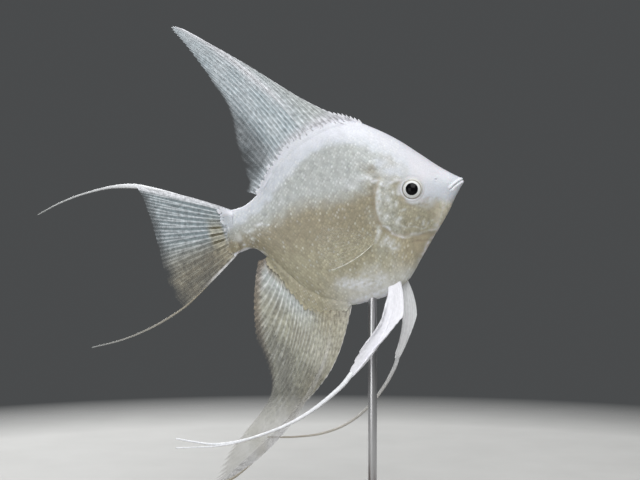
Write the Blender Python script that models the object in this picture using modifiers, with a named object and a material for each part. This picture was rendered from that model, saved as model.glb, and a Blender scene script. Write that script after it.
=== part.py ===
"""A freshwater angelfish, white all over, as a life-size museum model on a plain display stand.

The fish is modelled in its own axes: +X towards the snout, +Z towards the back, with the origin where
the tail fin joins the body. An empty then sets it on the stand, nose a little up. Driving sizes are in
millimetres, as on a fish measured with callipers, and MM turns them into metres.
"""

import math
from collections import namedtuple

import bmesh
import bpy
import numpy as np
from mathutils import Euler, Matrix, Vector

MM = 0.001
GAP = 0.3                    # clearance between pieces that meet

# How the fish hangs over the stand
TAIL_ROOT_X, TAIL_ROOT_Z = -31.7, 104.7
NOSE_UP = math.radians(12.5)

# The stand
BASE_LENGTH, BASE_WIDTH, BASE_HEIGHT = 104.0, 60.0, 8.0
BASE_CORNER, BASE_EDGE = 14.0, 1.2
ROD_RADIUS, ROD_X = 1.5, 14.4
ROD_TOP = 92.0               # inside the trunk, before the rod is cut off under the belly
COLLAR_RADIUS, COLLAR_HEIGHT = 4.0, 3.0
ROUND_SIDES = 18             # of the rod and the collar

# The body, station by station: place ahead of the tail root, back line, belly line, half width
BODY = np.array([
    (-2.0, 7.5, -8.1, 1.3),
    (1.0, 7.2, -7.5, 2.1),
    (5.0, 7.9, -7.5, 2.8),
    (11.0, 11.6, -14.8, 3.8),
    (16.5, 17.8, -22.6, 4.7),
    (23.0, 22.6, -28.8, 5.6),
    (31.0, 26.0, -32.4, 6.6),
    (40.0, 27.9, -32.6, 7.3),
    (47.0, 27.0, -31.7, 7.4),
    (53.0, 23.4, -28.6, 7.0),
    (60.0, 17.8, -21.2, 6.0),
    (66.0, 11.8, -14.6, 4.7),
    (71.0, 6.7, -9.2, 3.4),
    (75.0, 3.2, -4.0, 2.2),
    (77.6, 1.2, -1.0, 0.9),
])
SECTION_PINCH = 1.22         # over 1 narrows a cross-section towards the back and the belly
BODY_STATIONS, BODY_SIDES = 28, 22
MIDDLE_CROWDING = 0.019      # how much closer the stations stand in the middle than towards the ends
CLEAR_OF_BODY = 20.0         # a distance from the middle plane that is outside the body everywhere

# Where the body is parted, as lines seen from the side
GILL_LINE = [(56.5, 32), (53.8, 18), (52.4, 8), (50.0, 3), (48.6, -2.5), (49.3, -8.4),
             (53.0, -12.4), (59.0, -13.8), (66.0, -14.6), (74.0, -16.5)]
STALK_LINE = [(8.8, 16), (6.6, 4), (6.6, -4), (8.2, -16)]
MOUTH_LINE = [(80.0, 0.9), (77.0, 0.1), (74.8, -0.9), (72.9, -2.2)]
JAW_LINE = [(72.9, -2.2), (71.2, -4.8), (68.8, -8.8), (67.0, -14.0)]
LIP_LINE = [(73.1, -2.3), (72.6, 1.2), (73.9, 4.6), (75.4, 8.0)]
GILL_COVER_FRONT = [(50.8, 10.0), (54.2, 9.4), (55.8, 6.4), (56.0, 2.0), (56.2, -2.6), (57.4, -6.8),
                    (60.2, -10.0), (64.2, -11.7), (68.6, -12.4)]
GILL_COVER_BACK = [(68.0, -20.0), (44.0, -20.0), (44.0, 9.4)]
GILL_COVER_THICK = 1.4
GILL_COVER_INNER = 1.0       # the covers reach no nearer to the middle plane than this

# The eyes
EYE_X, EYE_Z = 61.2, 0.9
EYE_RADIUS, EYE_DEPTH, EYE_BULGE = 3.7, 2.6, 1.0
EYE_MERIDIANS, EYE_RINGS = 18, 9

# Fins. Each is a fan of rays from a line of roots, sunk in the body, to a line of tips, with a thinner web
# between the rays. Points are (x, y, z), y to the fish's left. The tips are evenly spaced from the first
# ray to the last, so where they crowd, many rays share a point. A ray leaves its root at one of the angles
# (degrees up from straight back), spread evenly from the first ray to the last, and bends to its tip.
Fin = namedtuple("Fin", "roots tips angles reach rays rows thick sway")
WEB_SHARE = 0.72             # thickness of the web as a share of a ray's
THINNEST = 0.5               # no part of a fin is thinner than this
RIPPLE_LENGTH = 7.5          # of the fins' gentle sideways waves, over two pi
WEB_NOTCH = 0.016            # how far the web stops short of the tips of the rays

DORSAL_SPINES = Fin(
    roots=[(50.6, 0, 23.4), (42.0, 0, 25.6), (34.8, 0, 25.2), (31.6, 0, 24.3)],
    tips=[(49.0, 0, 27.0), (43.9, 0, 30.2), (38.3, 0, 32.7), (30.7, 0, 38.7), (22.8, 0, 46.3),
          (14.8, 0, 54.1), (7.4, 0, 61.0)],
    angles=(50, 57, 64), reach=0.567, rays=11, rows=3, thick=(1.7, 0.62), sway=0.0)
DORSAL_SAIL = Fin(
    roots=[(30.8, 0, 24.0), (22.7, 0, 20.4), (15.8, 0, 15.0), (10.4, 0, 9.2)],
    tips=[(-5.4, 0, 71.4), (-7.2, 0, 71.6), (-6.2, 0, 69.2), (-3.6, 0, 64.6), (-0.4, 0, 58.0),
          (2.4, 0, 51.4), (4.5, 0, 44.8), (4.9, 0, 38.0), (4.2, 0, 31.2), (3.7, 0, 24.4), (4.2, 0, 18.0),
          (6.6, 0, 11.6)],
    angles=(64, 66, 67, 67, 62, 50), reach=0.6, rays=16, rows=5, thick=(1.7, 0.62), sway=0.9)
ANAL_SPINES = Fin(
    roots=[(33.4, 0, -30.4), (30.4, 0, -30.3), (28.1, 0, -29.7)],
    tips=[(32.3, 0, -34.2), (28.9, 0, -41.0), (24.8, 0, -48.0), (19.9, 0, -54.0), (15.0, 0, -58.2),
          (11.0, 0, -61.4)],
    angles=(-74, -74.5, -75.5), reach=0.524, rays=6, rows=4, thick=(1.7, 0.62), sway=0.0)
ANAL_SAIL = Fin(
    roots=[(26.4, 0, -29.0), (18.8, 0, -22.4), (13.4, 0, -15.4), (9.6, 0, -9.8)],
    tips=[(-28.4, 0, -84.8), (-28.9, 0, -83.6), (-28.4, 0, -82.0), (-24.2, 0, -75.6), (-16.0, 0, -69.2),
          (-7.4, 0, -63.2), (-1.8, 0, -56.5), (-0.9, 0, -49.0), (-1.2, 0, -41.5), (-0.9, 0, -34.0),
          (0.2, 0, -26.5), (2.2, 0, -18.6), (5.0, 0, -11.5)],
    angles=(-77, -78, -78, -76, -66, -50), reach=0.54, rays=16, rows=5, thick=(1.7, 0.62), sway=0.9)
TAIL = Fin(
    roots=[(0.6, 0, 6.5), (-0.4, 0, 2.4), (-0.4, 0, -2.4), (0.6, 0, -6.6)],
    tips=[(-30.8, 1.6, 22.0), (-29.2, 1.9, 17.4), (-28.4, 2.1, 11.2), (-28.0, 2.2, 4.4),
          (-27.8, 2.1, -2.5), (-27.4, 1.9, -9.4), (-26.4, 1.6, -16.2), (-23.4, 1.2, -21.8)],
    angles=(32, 14, 0, -16, -36), reach=0.5, rays=15, rows=3, thick=(1.7, 0.62), sway=0.7)
PELVIC_RIGHT = Fin(
    roots=[(50.8, -2.4, -28.0), (48.8, -2.2, -28.7), (46.6, -2.0, -29.2)],
    tips=[(49.4, -6.0, -39.6), (46.4, -6.8, -41.8), (41.6, -8.0, -45.6), (36.8, -9.0, -48.8),
          (31.4, -10.0, -53.0), (26.4, -10.6, -56.4), (29.6, -10.2, -51.4), (34.8, -9.2, -46.0),
          (40.8, -7.8, -41.4), (43.6, -6.0, -36.6)],
    angles=(-94, -84, -80, -74, -70), reach=0.5, rays=10, rows=4, thick=(1.3, 0.8), sway=0.0)
PELVIC_LEFT = Fin(
    roots=[(52.4, 2.6, -27.4), (51.2, 2.4, -27.9), (49.8, 2.2, -28.5)],
    tips=[(52.6, 6.5, -41.2), (49.6, 8.0, -46.0), (46.4, 9.5, -50.2), (42.4, 10.8, -54.7),
          (41.8, 10.5, -53.2), (44.2, 9.4, -49.4), (46.6, 8.0, -44.8), (48.6, 6.0, -39.4)],
    angles=(-104, -92, -84), reach=0.53, rays=8, rows=4, thick=(1.3, 0.8), sway=0.0)
PECTORAL_LEFT = Fin(
    roots=[(46.4, 6.2, -9.8), (46.0, 6.2, -11.5), (46.1, 6.0, -13.2)],
    tips=[(31.0, 13.2, -4.2), (28.9, 14.1, -7.4), (28.0, 14.4, -11.2), (28.4, 14.0, -15.2),
          (30.6, 12.6, -19.6)],
    angles=(16, -4, -36), reach=0.5, rays=12, rows=3, thick=(0.9, 0.5), sway=0.3)

# Streamers: the long threads in which the fins end, as points
TAIL_STREAMER_UPPER = [(-31.2, 1.6, 22.1), (-37.4, 2.0, 23.2), (-47.6, 3.0, 23.4), (-58.4, 4.0, 22.1),
                       (-67.8, 5.0, 19.7)]
TAIL_STREAMER_LOWER = [(-23.7, 1.2, -21.95), (-29.0, 1.2, -23.9), (-36.5, 1.4, -26.2), (-47.0, 2.0, -28.1),
                       (-58.6, 2.8, -28.6)]
ANAL_STREAMER = [(-29.4, 0, -84.6), (-32.4, -0.6, -85.9), (-35.6, -1.4, -86.9), (-39.0, -2.4, -87.5)]
PELVIC_STREAMER_RIGHT = [(26.3, -10.7, -56.5), (20.4, -11.6, -60.0), (13.4, -12.2, -63.3), (5.4, -12.4, -65.9),
                         (-3.4, -12.1, -67.5), (-12.4, -11.4, -68.3), (-21.5, -10.4, -67.6)]
PELVIC_STREAMER_TIPS = [[(-21.8, -10.3, -67.4), (-27.6, -9.2, -65.8), (-34.0, -7.8, -63.6)],
                        [(-21.8, -10.9, -68.0), (-27.6, -10.9, -67.4), (-34.0, -10.6, -66.4)]]
PELVIC_STREAMER_LEFT = [(42.1, 10.9, -55.1), (38.6, 11.8, -59.8), (33.2, 12.6, -65.2), (26.8, 12.9, -69.9),
                        (19.8, 12.7, -72.9), (12.0, 12.0, -74.1), (3.0, 11.0, -73.4), (-7.0, 9.8, -71.4)]
STREAMER_BENDS, FEWEST_BENDS = 10, 5     # points along a whole streamer, and along a short length of one

# Each surface's colour, roughness and metallic value
SURFACES = {
    "skin": ((0.80, 0.80, 0.79), 0.35, 0.0),
    "fin": ((0.72, 0.75, 0.76), 0.40, 0.0),
    "eye": ((0.03, 0.03, 0.035), 0.08, 0.0),
    "base": ((0.20, 0.12, 0.07), 0.40, 0.0),
    "rod": ((0.62, 0.62, 0.63), 0.30, 1.0),
}


def clear_scene():
    for obj in list(bpy.data.objects):
        bpy.data.objects.remove(obj)


def new_collection(name):
    collection = bpy.data.collections.new(name)
    bpy.context.scene.collection.children.link(collection)
    return collection


def material(name):
    """A Principled material for one of the named surfaces, made once."""
    if name in bpy.data.materials:
        return bpy.data.materials[name]
    made = bpy.data.materials.new(name)
    made.use_nodes = True
    shader = made.node_tree.nodes["Principled BSDF"]
    colour, roughness, metallic = SURFACES[name]
    shader.inputs["Base Color"].default_value = (*colour, 1.0)
    shader.inputs["Roughness"].default_value = roughness
    shader.inputs["Metallic"].default_value = metallic
    return made


def smooth(knots, values, at):
    """Values between knots, on a smooth curve through them."""
    knots, values, at = np.asarray(knots, float), np.asarray(values, float), np.asarray(at, float)
    slopes = np.gradient(values, knots, axis=0)
    i = np.clip(np.searchsorted(knots, at, side="right") - 1, 0, len(knots) - 2)
    span = (knots[i + 1] - knots[i]).reshape(-1, *[1] * (values.ndim - 1))
    f = ((at - knots[i]).reshape(span.shape)) / span
    return ((2 * f**3 - 3 * f**2 + 1) * values[i] + (f**3 - 2 * f**2 + f) * span * slopes[i]
            + (3 * f**2 - 2 * f**3) * values[i + 1] + (f**3 - f**2) * span * slopes[i + 1])


def along(points, shares):
    """Points at these shares of the length of a smooth curve through the given ones."""
    points = np.asarray(points, float)
    steps = np.linalg.norm(np.diff(points, axis=0), axis=1)
    knots = np.concatenate([[0], np.cumsum(steps)]) / steps.sum()
    return smooth(knots, points, np.asarray(shares, float))


def mesh_object(name, bm, collection, surface=None):
    mesh = bpy.data.meshes.new(name)
    bm.to_mesh(mesh)
    bm.free()
    obj = bpy.data.objects.new(name, mesh)
    collection.objects.link(obj)
    if surface:
        mesh.materials.append(material(surface))
    return obj


def baked(obj, name, collection, surface=None):
    """A plain mesh object of what obj looks like with its modifiers, which obj is then removed for."""
    bpy.context.view_layer.update()
    graph = bpy.context.evaluated_depsgraph_get()
    mesh = bpy.data.meshes.new_from_object(obj.evaluated_get(graph))
    mesh.transform(obj.matrix_world)
    bpy.data.objects.remove(obj)
    mesh.name = name
    made = bpy.data.objects.new(name, mesh)
    collection.objects.link(made)
    mesh.materials.clear()
    if surface:
        mesh.materials.append(material(surface))
    return made


def as_cutter(obj):
    obj.hide_render = True
    obj.display_type = "WIRE"
    return obj


def combine(obj, other, operation):
    modifier = obj.modifiers.new(operation.title(), "BOOLEAN")
    modifier.operation = operation
    modifier.object = other
    modifier.solver = "EXACT"


def body_section(x, grow):
    """The ring of the body at x, as points, grown outwards by grow."""
    top, bottom, half_width = smooth(BODY[:, 0], BODY[:, 1:], [x])[0]
    middle, half_height = (top + bottom) / 2, (top - bottom) / 2 + grow
    turns = np.arange(BODY_SIDES) * 2 * math.pi / BODY_SIDES
    sine = np.sin(turns)
    y = (half_width + grow) * np.sign(sine) * np.abs(sine) ** SECTION_PINCH
    z = middle + half_height * np.cos(turns)
    return np.stack([np.full(BODY_SIDES, x), y, z], axis=1)


def body(name, collection, grow=0.0):
    """The whole body from tail root to lips, one closed loft."""
    share = np.linspace(0, 1, BODY_STATIONS)
    share += MIDDLE_CROWDING * np.sin(2 * math.pi * share)
    stations = BODY[0, 0] + (BODY[-1, 0] - BODY[0, 0]) * share
    bm = bmesh.new()
    rings = []
    for i, x in enumerate(stations):
        ring = body_section(x, grow)
        ring[:, 0] += grow * ((i == BODY_STATIONS - 1) - (i == 0))
        rings.append([bm.verts.new(p * MM) for p in ring])
    for back, front in zip(rings, rings[1:]):
        for j in range(BODY_SIDES):
            k = (j + 1) % BODY_SIDES
            bm.faces.new((back[j], front[j], front[k], back[k]))
    bm.faces.new(rings[0])
    bm.faces.new(reversed(rings[-1]))
    bmesh.ops.recalc_face_normals(bm, faces=bm.faces)
    return mesh_object(name, bm, collection)


def plate(name, outline, low_y, high_y, collection):
    """A flat plate of this outline seen from the side, from low_y to high_y."""
    curve = bpy.data.curves.new(name, "CURVE")
    curve.dimensions = "2D"
    curve.fill_mode = "BOTH"
    curve.extrude = (high_y - low_y) / 2 * MM
    spline = curve.splines.new("POLY")
    spline.points.add(len(outline) - 1)
    for point, (x, z) in zip(spline.points, outline):
        point.co = (x * MM, z * MM, 0, 1)
    spline.use_cyclic_u = True
    obj = bpy.data.objects.new(name, curve)
    collection.objects.link(obj)
    obj.location.y = (low_y + high_y) / 2 * MM
    obj.rotation_euler.x = math.pi / 2
    made = baked(obj, name, collection)
    bm = bmesh.new()
    bm.from_mesh(made.data)
    bmesh.ops.remove_doubles(bm, verts=bm.verts, dist=1e-6)
    bmesh.ops.recalc_face_normals(bm, faces=bm.faces)
    bm.to_mesh(made.data)
    bm.free()
    return as_cutter(made)


def wall(name, line, collection, points):
    """A thin wall through a smooth curve on a line seen from the side, to part a body with."""
    middle = along(line, np.linspace(0, 1, points))
    step = np.gradient(middle, axis=0)
    aside = np.stack([-step[:, 1], step[:, 0]], axis=1) / np.linalg.norm(step, axis=1)[:, None]
    outline = np.concatenate([middle + aside * GAP / 2, (middle - aside * GAP / 2)[::-1]])
    return plate(name, outline, -CLEAR_OF_BODY, CLEAR_OF_BODY, collection)


def grown(outline, by):
    """An outline drawn anticlockwise, moved outwards by this much all the way round."""
    corners = np.asarray(outline, float)
    edges = np.roll(corners, -1, axis=0) - corners
    edges /= np.linalg.norm(edges, axis=1)[:, None]
    outward = np.stack([edges[:, 1], -edges[:, 0]], axis=1)
    both = outward + np.roll(outward, 1, axis=0)
    return corners + both * (2 * by / (both**2).sum(axis=1))[:, None]


def loose_parts(obj):
    """obj split into one object for each body in its mesh."""
    bpy.ops.object.select_all(action="DESELECT")
    bpy.context.view_layer.objects.active = obj
    obj.select_set(True)
    bpy.ops.mesh.separate(type="LOOSE")
    return list(bpy.context.selected_objects)


def middle(obj, axis):
    return sum(v.co[axis] for v in obj.data.vertices) / len(obj.data.vertices)


def eyeball(name, side, collection, grow=0.0, surface=None):
    """An eye: a sphere flattened sideways, set into the head."""
    bm = bmesh.new()
    bmesh.ops.create_uvsphere(bm, u_segments=EYE_MERIDIANS, v_segments=EYE_RINGS, radius=1)
    head_half_width = body_section(EYE_X, 0)[:, 1].max()
    centre_y = side * (head_half_width + EYE_BULGE - EYE_DEPTH)
    size = Vector((EYE_RADIUS + grow, EYE_DEPTH + grow, EYE_RADIUS + grow))
    poles_sideways = Matrix.Rotation(math.pi / 2, 4, "X")
    place = Matrix.Translation(Vector((EYE_X, centre_y, EYE_Z)) * MM)
    bmesh.ops.transform(bm, matrix=place @ Matrix.Diagonal((*size * MM, 1)) @ poles_sideways, verts=bm.verts)
    return mesh_object(name, bm, collection, surface)


def flesh(fish, tools):
    """Head, jaws, gill covers, trunk and tail stalk, parted from one body."""
    whole = body("body", tools)
    for cutter in (wall("gill_wall", GILL_LINE, tools, 24), wall("stalk_wall", STALK_LINE, tools, 6)):
        combine(whole, cutter, "DIFFERENCE")
    stalk, trunk, head = sorted(loose_parts(baked(whole, "body", fish)), key=lambda part: middle(part, 0))

    sides = {"left": 1, "right": -1}
    under_cover = as_cutter(body("under_gill_covers", tools, -GILL_COVER_THICK))
    bony_head = as_cutter(body("under_gill_gap", tools, -GILL_COVER_THICK - GAP))
    front_edge = along(GILL_COVER_FRONT, np.linspace(0, 1, 13))
    cover_outline = np.concatenate([front_edge[::-1], GILL_COVER_BACK[::-1]])
    spans = {name: sorted((side * GILL_COVER_INNER, side * CLEAR_OF_BODY)) for name, side in sides.items()}
    for name, span in spans.items():
        cover = bpy.data.objects.new("gill_cover_" + name, head.data.copy())
        fish.objects.link(cover)
        combine(cover, plate("cover_" + name, cover_outline, *span, tools), "INTERSECT")
        combine(cover, under_cover, "DIFFERENCE")
        baked(cover, "gill_cover_" + name, fish, "skin")
    for name, side in sides.items():
        pocket = plate("pocket_" + name, grown(cover_outline, GAP), *spans[name], tools)
        combine(pocket, bony_head, "DIFFERENCE")
        combine(head, as_cutter(baked(pocket, "pocket_" + name, tools)), "DIFFERENCE")
        combine(head, as_cutter(eyeball("socket_" + name, side, tools, GAP)), "DIFFERENCE")
    for name, line in (("mouth", MOUTH_LINE), ("jaw", JAW_LINE), ("lip", LIP_LINE)):
        combine(head, wall(name + "_wall", line, tools, 5), "DIFFERENCE")
    head, *jaws = sorted(loose_parts(baked(head, "head", fish)), key=lambda part: middle(part, 0))
    lower_jaw, upper_jaw = sorted(jaws, key=lambda part: middle(part, 2))
    named = {"head": head, "lower_jaw": lower_jaw, "upper_jaw": upper_jaw, "trunk": trunk, "tail_stalk": stalk}
    for name, obj in named.items():
        obj.name = name
        obj.data.materials.clear()
        obj.data.materials.append(material("skin"))


def evenly(values, share):
    """A value from a row of evenly spaced ones, on a smooth curve through them."""
    return smooth(np.linspace(0, 1, len(values)), values, [share])[0]


def fin_point(fin, u, v):
    """The point of a fin at share u across it, from the first ray to the last, and share v out to the tips."""
    root, tip = along(fin.roots, [u])[0], evenly(fin.tips, u)
    angle = math.radians(evenly(fin.angles, u))
    bend = root + np.array([-math.cos(angle), 0, math.sin(angle)]) * np.linalg.norm(tip - root) * fin.reach
    bend[1] = (root[1] + tip[1]) / 2
    point = (1 - v) ** 2 * root + 2 * v * (1 - v) * bend + v**2 * tip
    point[1] += fin.sway * v * math.sin((point[0] + abs(point[2])) / RIPPLE_LENGTH)
    return point


def fan(name, fin, collection):
    """A fin as a grid, one column on each ray and one on each web, thickened."""
    columns = 2 * (fin.rays - 1)
    bm = bmesh.new()
    bmesh.ops.create_grid(bm, x_segments=columns, y_segments=fin.rows, size=0.5)
    root_thick, tip_thick = fin.thick
    thickness = {}
    for vert in bm.verts:
        u, v = vert.co.x + 0.5, vert.co.y + 0.5
        on_ray = round(u * columns) % 2 == 0
        reach = v if on_ray else v * (1 - WEB_NOTCH)
        thickness[vert.index] = (root_thick + (tip_thick - root_thick) * v) * (1 if on_ray else WEB_SHARE)
        vert.co = Vector(fin_point(fin, u, reach) * MM)
    obj = mesh_object(name, bm, collection, "fin")
    group = obj.vertex_groups.new(name="thickness")
    for index, thick in thickness.items():
        group.add([index], max(thick, THINNEST) / root_thick, "REPLACE")
    solid = obj.modifiers.new("Thickness", "SOLIDIFY")
    solid.thickness = root_thick * MM
    solid.offset = 0
    solid.vertex_group = group.name
    return obj


def streamer(name, points, radii, collection, shares=(0, 1)):
    """A thread of a fin: a tapering tube through these points, or through a share of their length."""
    count = max(FEWEST_BENDS, round(STREAMER_BENDS * (shares[1] - shares[0])))
    at = np.linspace(*shares, count)
    curve = bpy.data.curves.new(name, "CURVE")
    curve.dimensions = "3D"
    curve.bevel_depth = radii[0] * MM
    curve.bevel_resolution = 1
    curve.use_fill_caps = True
    spline = curve.splines.new("POLY")
    spline.points.add(count - 1)
    for point, place, share in zip(spline.points, along(points, at), at):
        point.co = (*place * MM, 1)
        point.radius = 1 + (radii[1] / radii[0] - 1) * share
    obj = bpy.data.objects.new(name, curve)
    collection.objects.link(obj)
    curve.materials.append(material("fin"))


def streamer_lengths(name, points, radii, pieces, collection):
    """A long streamer in a few lengths, each a node of its own."""
    steps = np.linalg.norm(np.diff(np.array(points), axis=0), axis=1)
    half_gap = GAP / steps.sum() / 2
    for i in range(pieces):
        start = i / pieces + (half_gap if i else 0)
        end = (i + 1) / pieces - (half_gap if i < pieces - 1 else 0)
        streamer(f"{name}_{i + 1}", points, radii, collection, (start, end))


def mirrored(fin):
    """The fin on the other side of the fish."""
    other_side = [[(x, -y, z) for x, y, z in points] for points in (fin.roots, fin.tips)]
    return fin._replace(roots=other_side[0], tips=other_side[1])


def fins(fish, body_and_gap):
    """The fins, each cut off clear of the body it grows from."""
    named = {
        "dorsal_fin_spines": DORSAL_SPINES,
        "dorsal_fin_sail": DORSAL_SAIL,
        "anal_fin_spines": ANAL_SPINES,
        "anal_fin_sail": ANAL_SAIL,
        "tail_fin": TAIL,
        "pelvic_fin_right": PELVIC_RIGHT,
        "pelvic_fin_left": PELVIC_LEFT,
        "pectoral_fin_left": PECTORAL_LEFT,
        "pectoral_fin_right": mirrored(PECTORAL_LEFT),
    }
    for name, fin in named.items():
        combine(fan(name, fin, fish), body_and_gap, "DIFFERENCE")


def streamers(fish):
    streamer("tail_streamer_upper", TAIL_STREAMER_UPPER, (0.55, 0.28), fish)
    streamer("tail_streamer_lower", TAIL_STREAMER_LOWER, (0.42, 0.26), fish)
    streamer("anal_fin_streamer", ANAL_STREAMER, (0.6, 0.28), fish)
    streamer_lengths("pelvic_streamer_right", PELVIC_STREAMER_RIGHT, (0.75, 0.5), 3, fish)
    for i, points in enumerate(PELVIC_STREAMER_TIPS):
        streamer(f"pelvic_streamer_right_tip_{i + 1}", points, (0.36, 0.26), fish)
    streamer_lengths("pelvic_streamer_left", PELVIC_STREAMER_LEFT, (0.62, 0.32), 3, fish)


def set_on_stand(fish, tools):
    """Turns the fish nose up over the stand, with its cutters, by an empty that carries them."""
    pose = bpy.data.objects.new("fish_pose", None)
    fish.objects.link(pose)
    pose.location = (TAIL_ROOT_X * MM, 0, TAIL_ROOT_Z * MM)
    pose.rotation_euler = Euler((0, -NOSE_UP, 0))
    for obj in list(fish.objects) + list(tools.objects):
        if obj is not pose:
            obj.parent = pose


def base(collection):
    """A flat base with round corners and a softened edge."""
    bm = bmesh.new()
    bmesh.ops.create_cube(bm, size=1)
    bmesh.ops.scale(bm, vec=Vector((BASE_LENGTH, BASE_WIDTH, BASE_HEIGHT)) * MM, verts=bm.verts)
    bmesh.ops.translate(bm, vec=(0, 0, BASE_HEIGHT / 2 * MM), verts=bm.verts)
    upright = [e for e in bm.edges if abs(e.verts[0].co.z - e.verts[1].co.z) > BASE_HEIGHT / 2 * MM]
    bmesh.ops.bevel(bm, geom=upright, offset=BASE_CORNER * MM, segments=6, profile=0.5, affect="EDGES")
    upper = [e for e in bm.edges if all(v.co.z > (BASE_HEIGHT - 0.01) * MM for v in e.verts)]
    bmesh.ops.bevel(bm, geom=upper, offset=BASE_EDGE * MM, segments=2, profile=0.5, affect="EDGES")
    return mesh_object("stand_base", bm, collection, "base")


def upright_cylinder(name, radius, low, high, x, collection):
    bm = bmesh.new()
    bmesh.ops.create_cone(bm, cap_ends=True, segments=ROUND_SIDES, radius1=radius * MM, radius2=radius * MM,
                          depth=(high - low) * MM)
    bmesh.ops.translate(bm, vec=Vector((x, 0, (low + high) / 2)) * MM, verts=bm.verts)
    return mesh_object(name, bm, collection, "rod")


def stand(collection, tools, body_and_gap):
    """A base, a collar on it and one rod up to the belly, cut to the shape of the belly."""
    base(collection)
    rod_foot = BASE_HEIGHT + GAP
    rod = upright_cylinder("stand_rod", ROD_RADIUS, rod_foot, ROD_TOP, ROD_X, collection)
    combine(rod, body_and_gap, "DIFFERENCE")
    collar = upright_cylinder("stand_collar", COLLAR_RADIUS, rod_foot, rod_foot + COLLAR_HEIGHT, ROD_X,
                              collection)
    hole = as_cutter(upright_cylinder("collar_hole", ROD_RADIUS + GAP, 0, 2 * BASE_HEIGHT, ROD_X, tools))
    combine(collar, hole, "DIFFERENCE")


def main():
    clear_scene()
    fish = new_collection("Freshwater angelfish on a stand")
    tools = new_collection("Cutters")
    flesh(fish, tools)
    for name, side in (("eye_left", 1), ("eye_right", -1)):
        eyeball(name, side, fish, surface="eye")
    body_and_gap = as_cutter(body("body_and_gap", tools, GAP))
    fins(fish, body_and_gap)
    streamers(fish)
    set_on_stand(fish, tools)
    stand(fish, tools, body_and_gap)


main()
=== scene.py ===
"""The looks of a white freshwater angelfish, modelled life-size and held nose-up over a display stand.

The fish is shaped in its own axes, in millimetres: x from the tail root to the snout, y to the fish's left
and z to its back. set_up() then turns each finished piece into the room, over the stand.
"""

import math
from collections import namedtuple

import bpy
import numpy as np
from mathutils import Matrix, Vector


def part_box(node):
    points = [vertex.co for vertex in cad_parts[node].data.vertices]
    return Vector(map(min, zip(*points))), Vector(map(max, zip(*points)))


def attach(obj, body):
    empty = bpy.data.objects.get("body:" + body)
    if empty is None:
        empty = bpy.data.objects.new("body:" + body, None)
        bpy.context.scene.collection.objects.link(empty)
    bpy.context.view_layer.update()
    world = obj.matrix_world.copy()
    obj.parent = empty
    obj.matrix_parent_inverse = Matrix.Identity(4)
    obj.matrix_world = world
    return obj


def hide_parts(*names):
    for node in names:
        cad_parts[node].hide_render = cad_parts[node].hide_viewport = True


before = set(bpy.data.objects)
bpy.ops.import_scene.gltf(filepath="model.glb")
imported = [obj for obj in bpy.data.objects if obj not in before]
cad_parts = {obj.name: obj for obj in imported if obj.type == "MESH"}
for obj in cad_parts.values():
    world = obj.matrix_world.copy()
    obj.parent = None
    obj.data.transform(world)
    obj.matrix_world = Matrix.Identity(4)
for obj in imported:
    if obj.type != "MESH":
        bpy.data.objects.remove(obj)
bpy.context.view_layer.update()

MM = 0.001
TAU = 2 * math.pi

# ---------------------------------------------------------------- the fish's sizes, as in its construction
TAIL_ROOT = Vector((-31.7, 0.0, 104.7)) * MM
NOSE_UP = math.radians(12.5)
POSE = Matrix.Translation(TAIL_ROOT) @ Matrix.Rotation(-NOSE_UP, 4, "Y") @ Matrix.Scale(MM, 4)
UPRIGHT = Matrix.Scale(MM, 4)        # for the stand, whose pieces are shaped in millimetres where they stand

# Place ahead of the tail root, back line, belly line, half width
BODY = np.array([
    (-2.0, 7.5, -8.1, 1.3),
    (1.0, 7.2, -7.5, 2.1),
    (5.0, 7.9, -7.5, 2.8),
    (11.0, 11.6, -14.8, 3.8),
    (16.5, 17.8, -22.6, 4.7),
    (23.0, 22.6, -28.8, 5.6),
    (31.0, 26.0, -32.4, 6.6),
    (40.0, 27.9, -32.6, 7.3),
    (47.0, 27.0, -31.7, 7.4),
    (53.0, 23.4, -28.6, 7.0),
    (60.0, 17.8, -21.2, 6.0),
    (66.0, 11.8, -14.6, 4.7),
    (71.0, 6.7, -9.2, 3.4),
    (75.0, 3.2, -4.0, 2.2),
    (77.6, 1.2, -1.0, 0.9),
])
SECTION_PINCH = 1.22

# Lines on the side of the head and body, as points (x, z)
GILL_LINE = [(56.5, 32), (53.8, 18), (52.4, 8), (50.0, 3), (48.6, -2.5), (49.3, -8.4),
             (53.0, -12.4), (59.0, -13.8), (66.0, -14.6), (74.0, -16.5)]
# The lower edge of the white back, from under the snout round the eye to the tail stalk
PALE_EDGE = [(83, -5.6), (73.4, -4.7), (67.6, -4.1), (63.0, -4.3), (59.4, -3.4), (57.3, -0.8), (56.9, 1.9),
             (57.8, 3.8), (59.2, 5.4), (60.4, 6.9), (60.0, 8.3), (58.0, 10.6), (54.0, 14.0), (50.0, 17.2),
             (44.5, 19.9), (37.9, 20.9), (33.0, 20.0), (28.4, 18.0), (24.4, 15.5), (20.4, 13.0), (17.1, 10.3),
             (13.7, 7.3), (8.2, 4.1), (3.6, 2.4), (-3.0, 1.0)]
# The lower edge of the grey upper flank
GREY_EDGE = [(58, 10.5), (51.1, 6.9), (47.8, 4.3), (43.4, 2.6), (37.8, 2.1), (32.4, 2.2), (27.1, 2.7),
             (22.2, 2.4), (17.0, 0.8), (12.6, -0.6), (4.0, -2.2), (-3.0, -2.8)]
MOUTH_LINE = [(80.0, 0.9), (77.0, 0.1), (74.8, -0.9), (72.9, -2.2)]
NOSTRIL = (69.4, 2.4)
EYE_X, EYE_Z = 61.2, 0.9
EYE_RADIUS, EYE_DEPTH, EYE_BULGE = 3.7, 2.6, 1.0
BROW_LINE = [(60.2, 5.2), (57.4, 4.7), (54.2, 4.8), (51.4, 5.4), (49.3, 6.4), (47.8, 8.0), (46.2, 9.8)]
COVER_CORNER_LINE = [(48.9, -7.2), (47.6, -9.8), (46.7, -12.3), (45.0, -14.4)]
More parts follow.
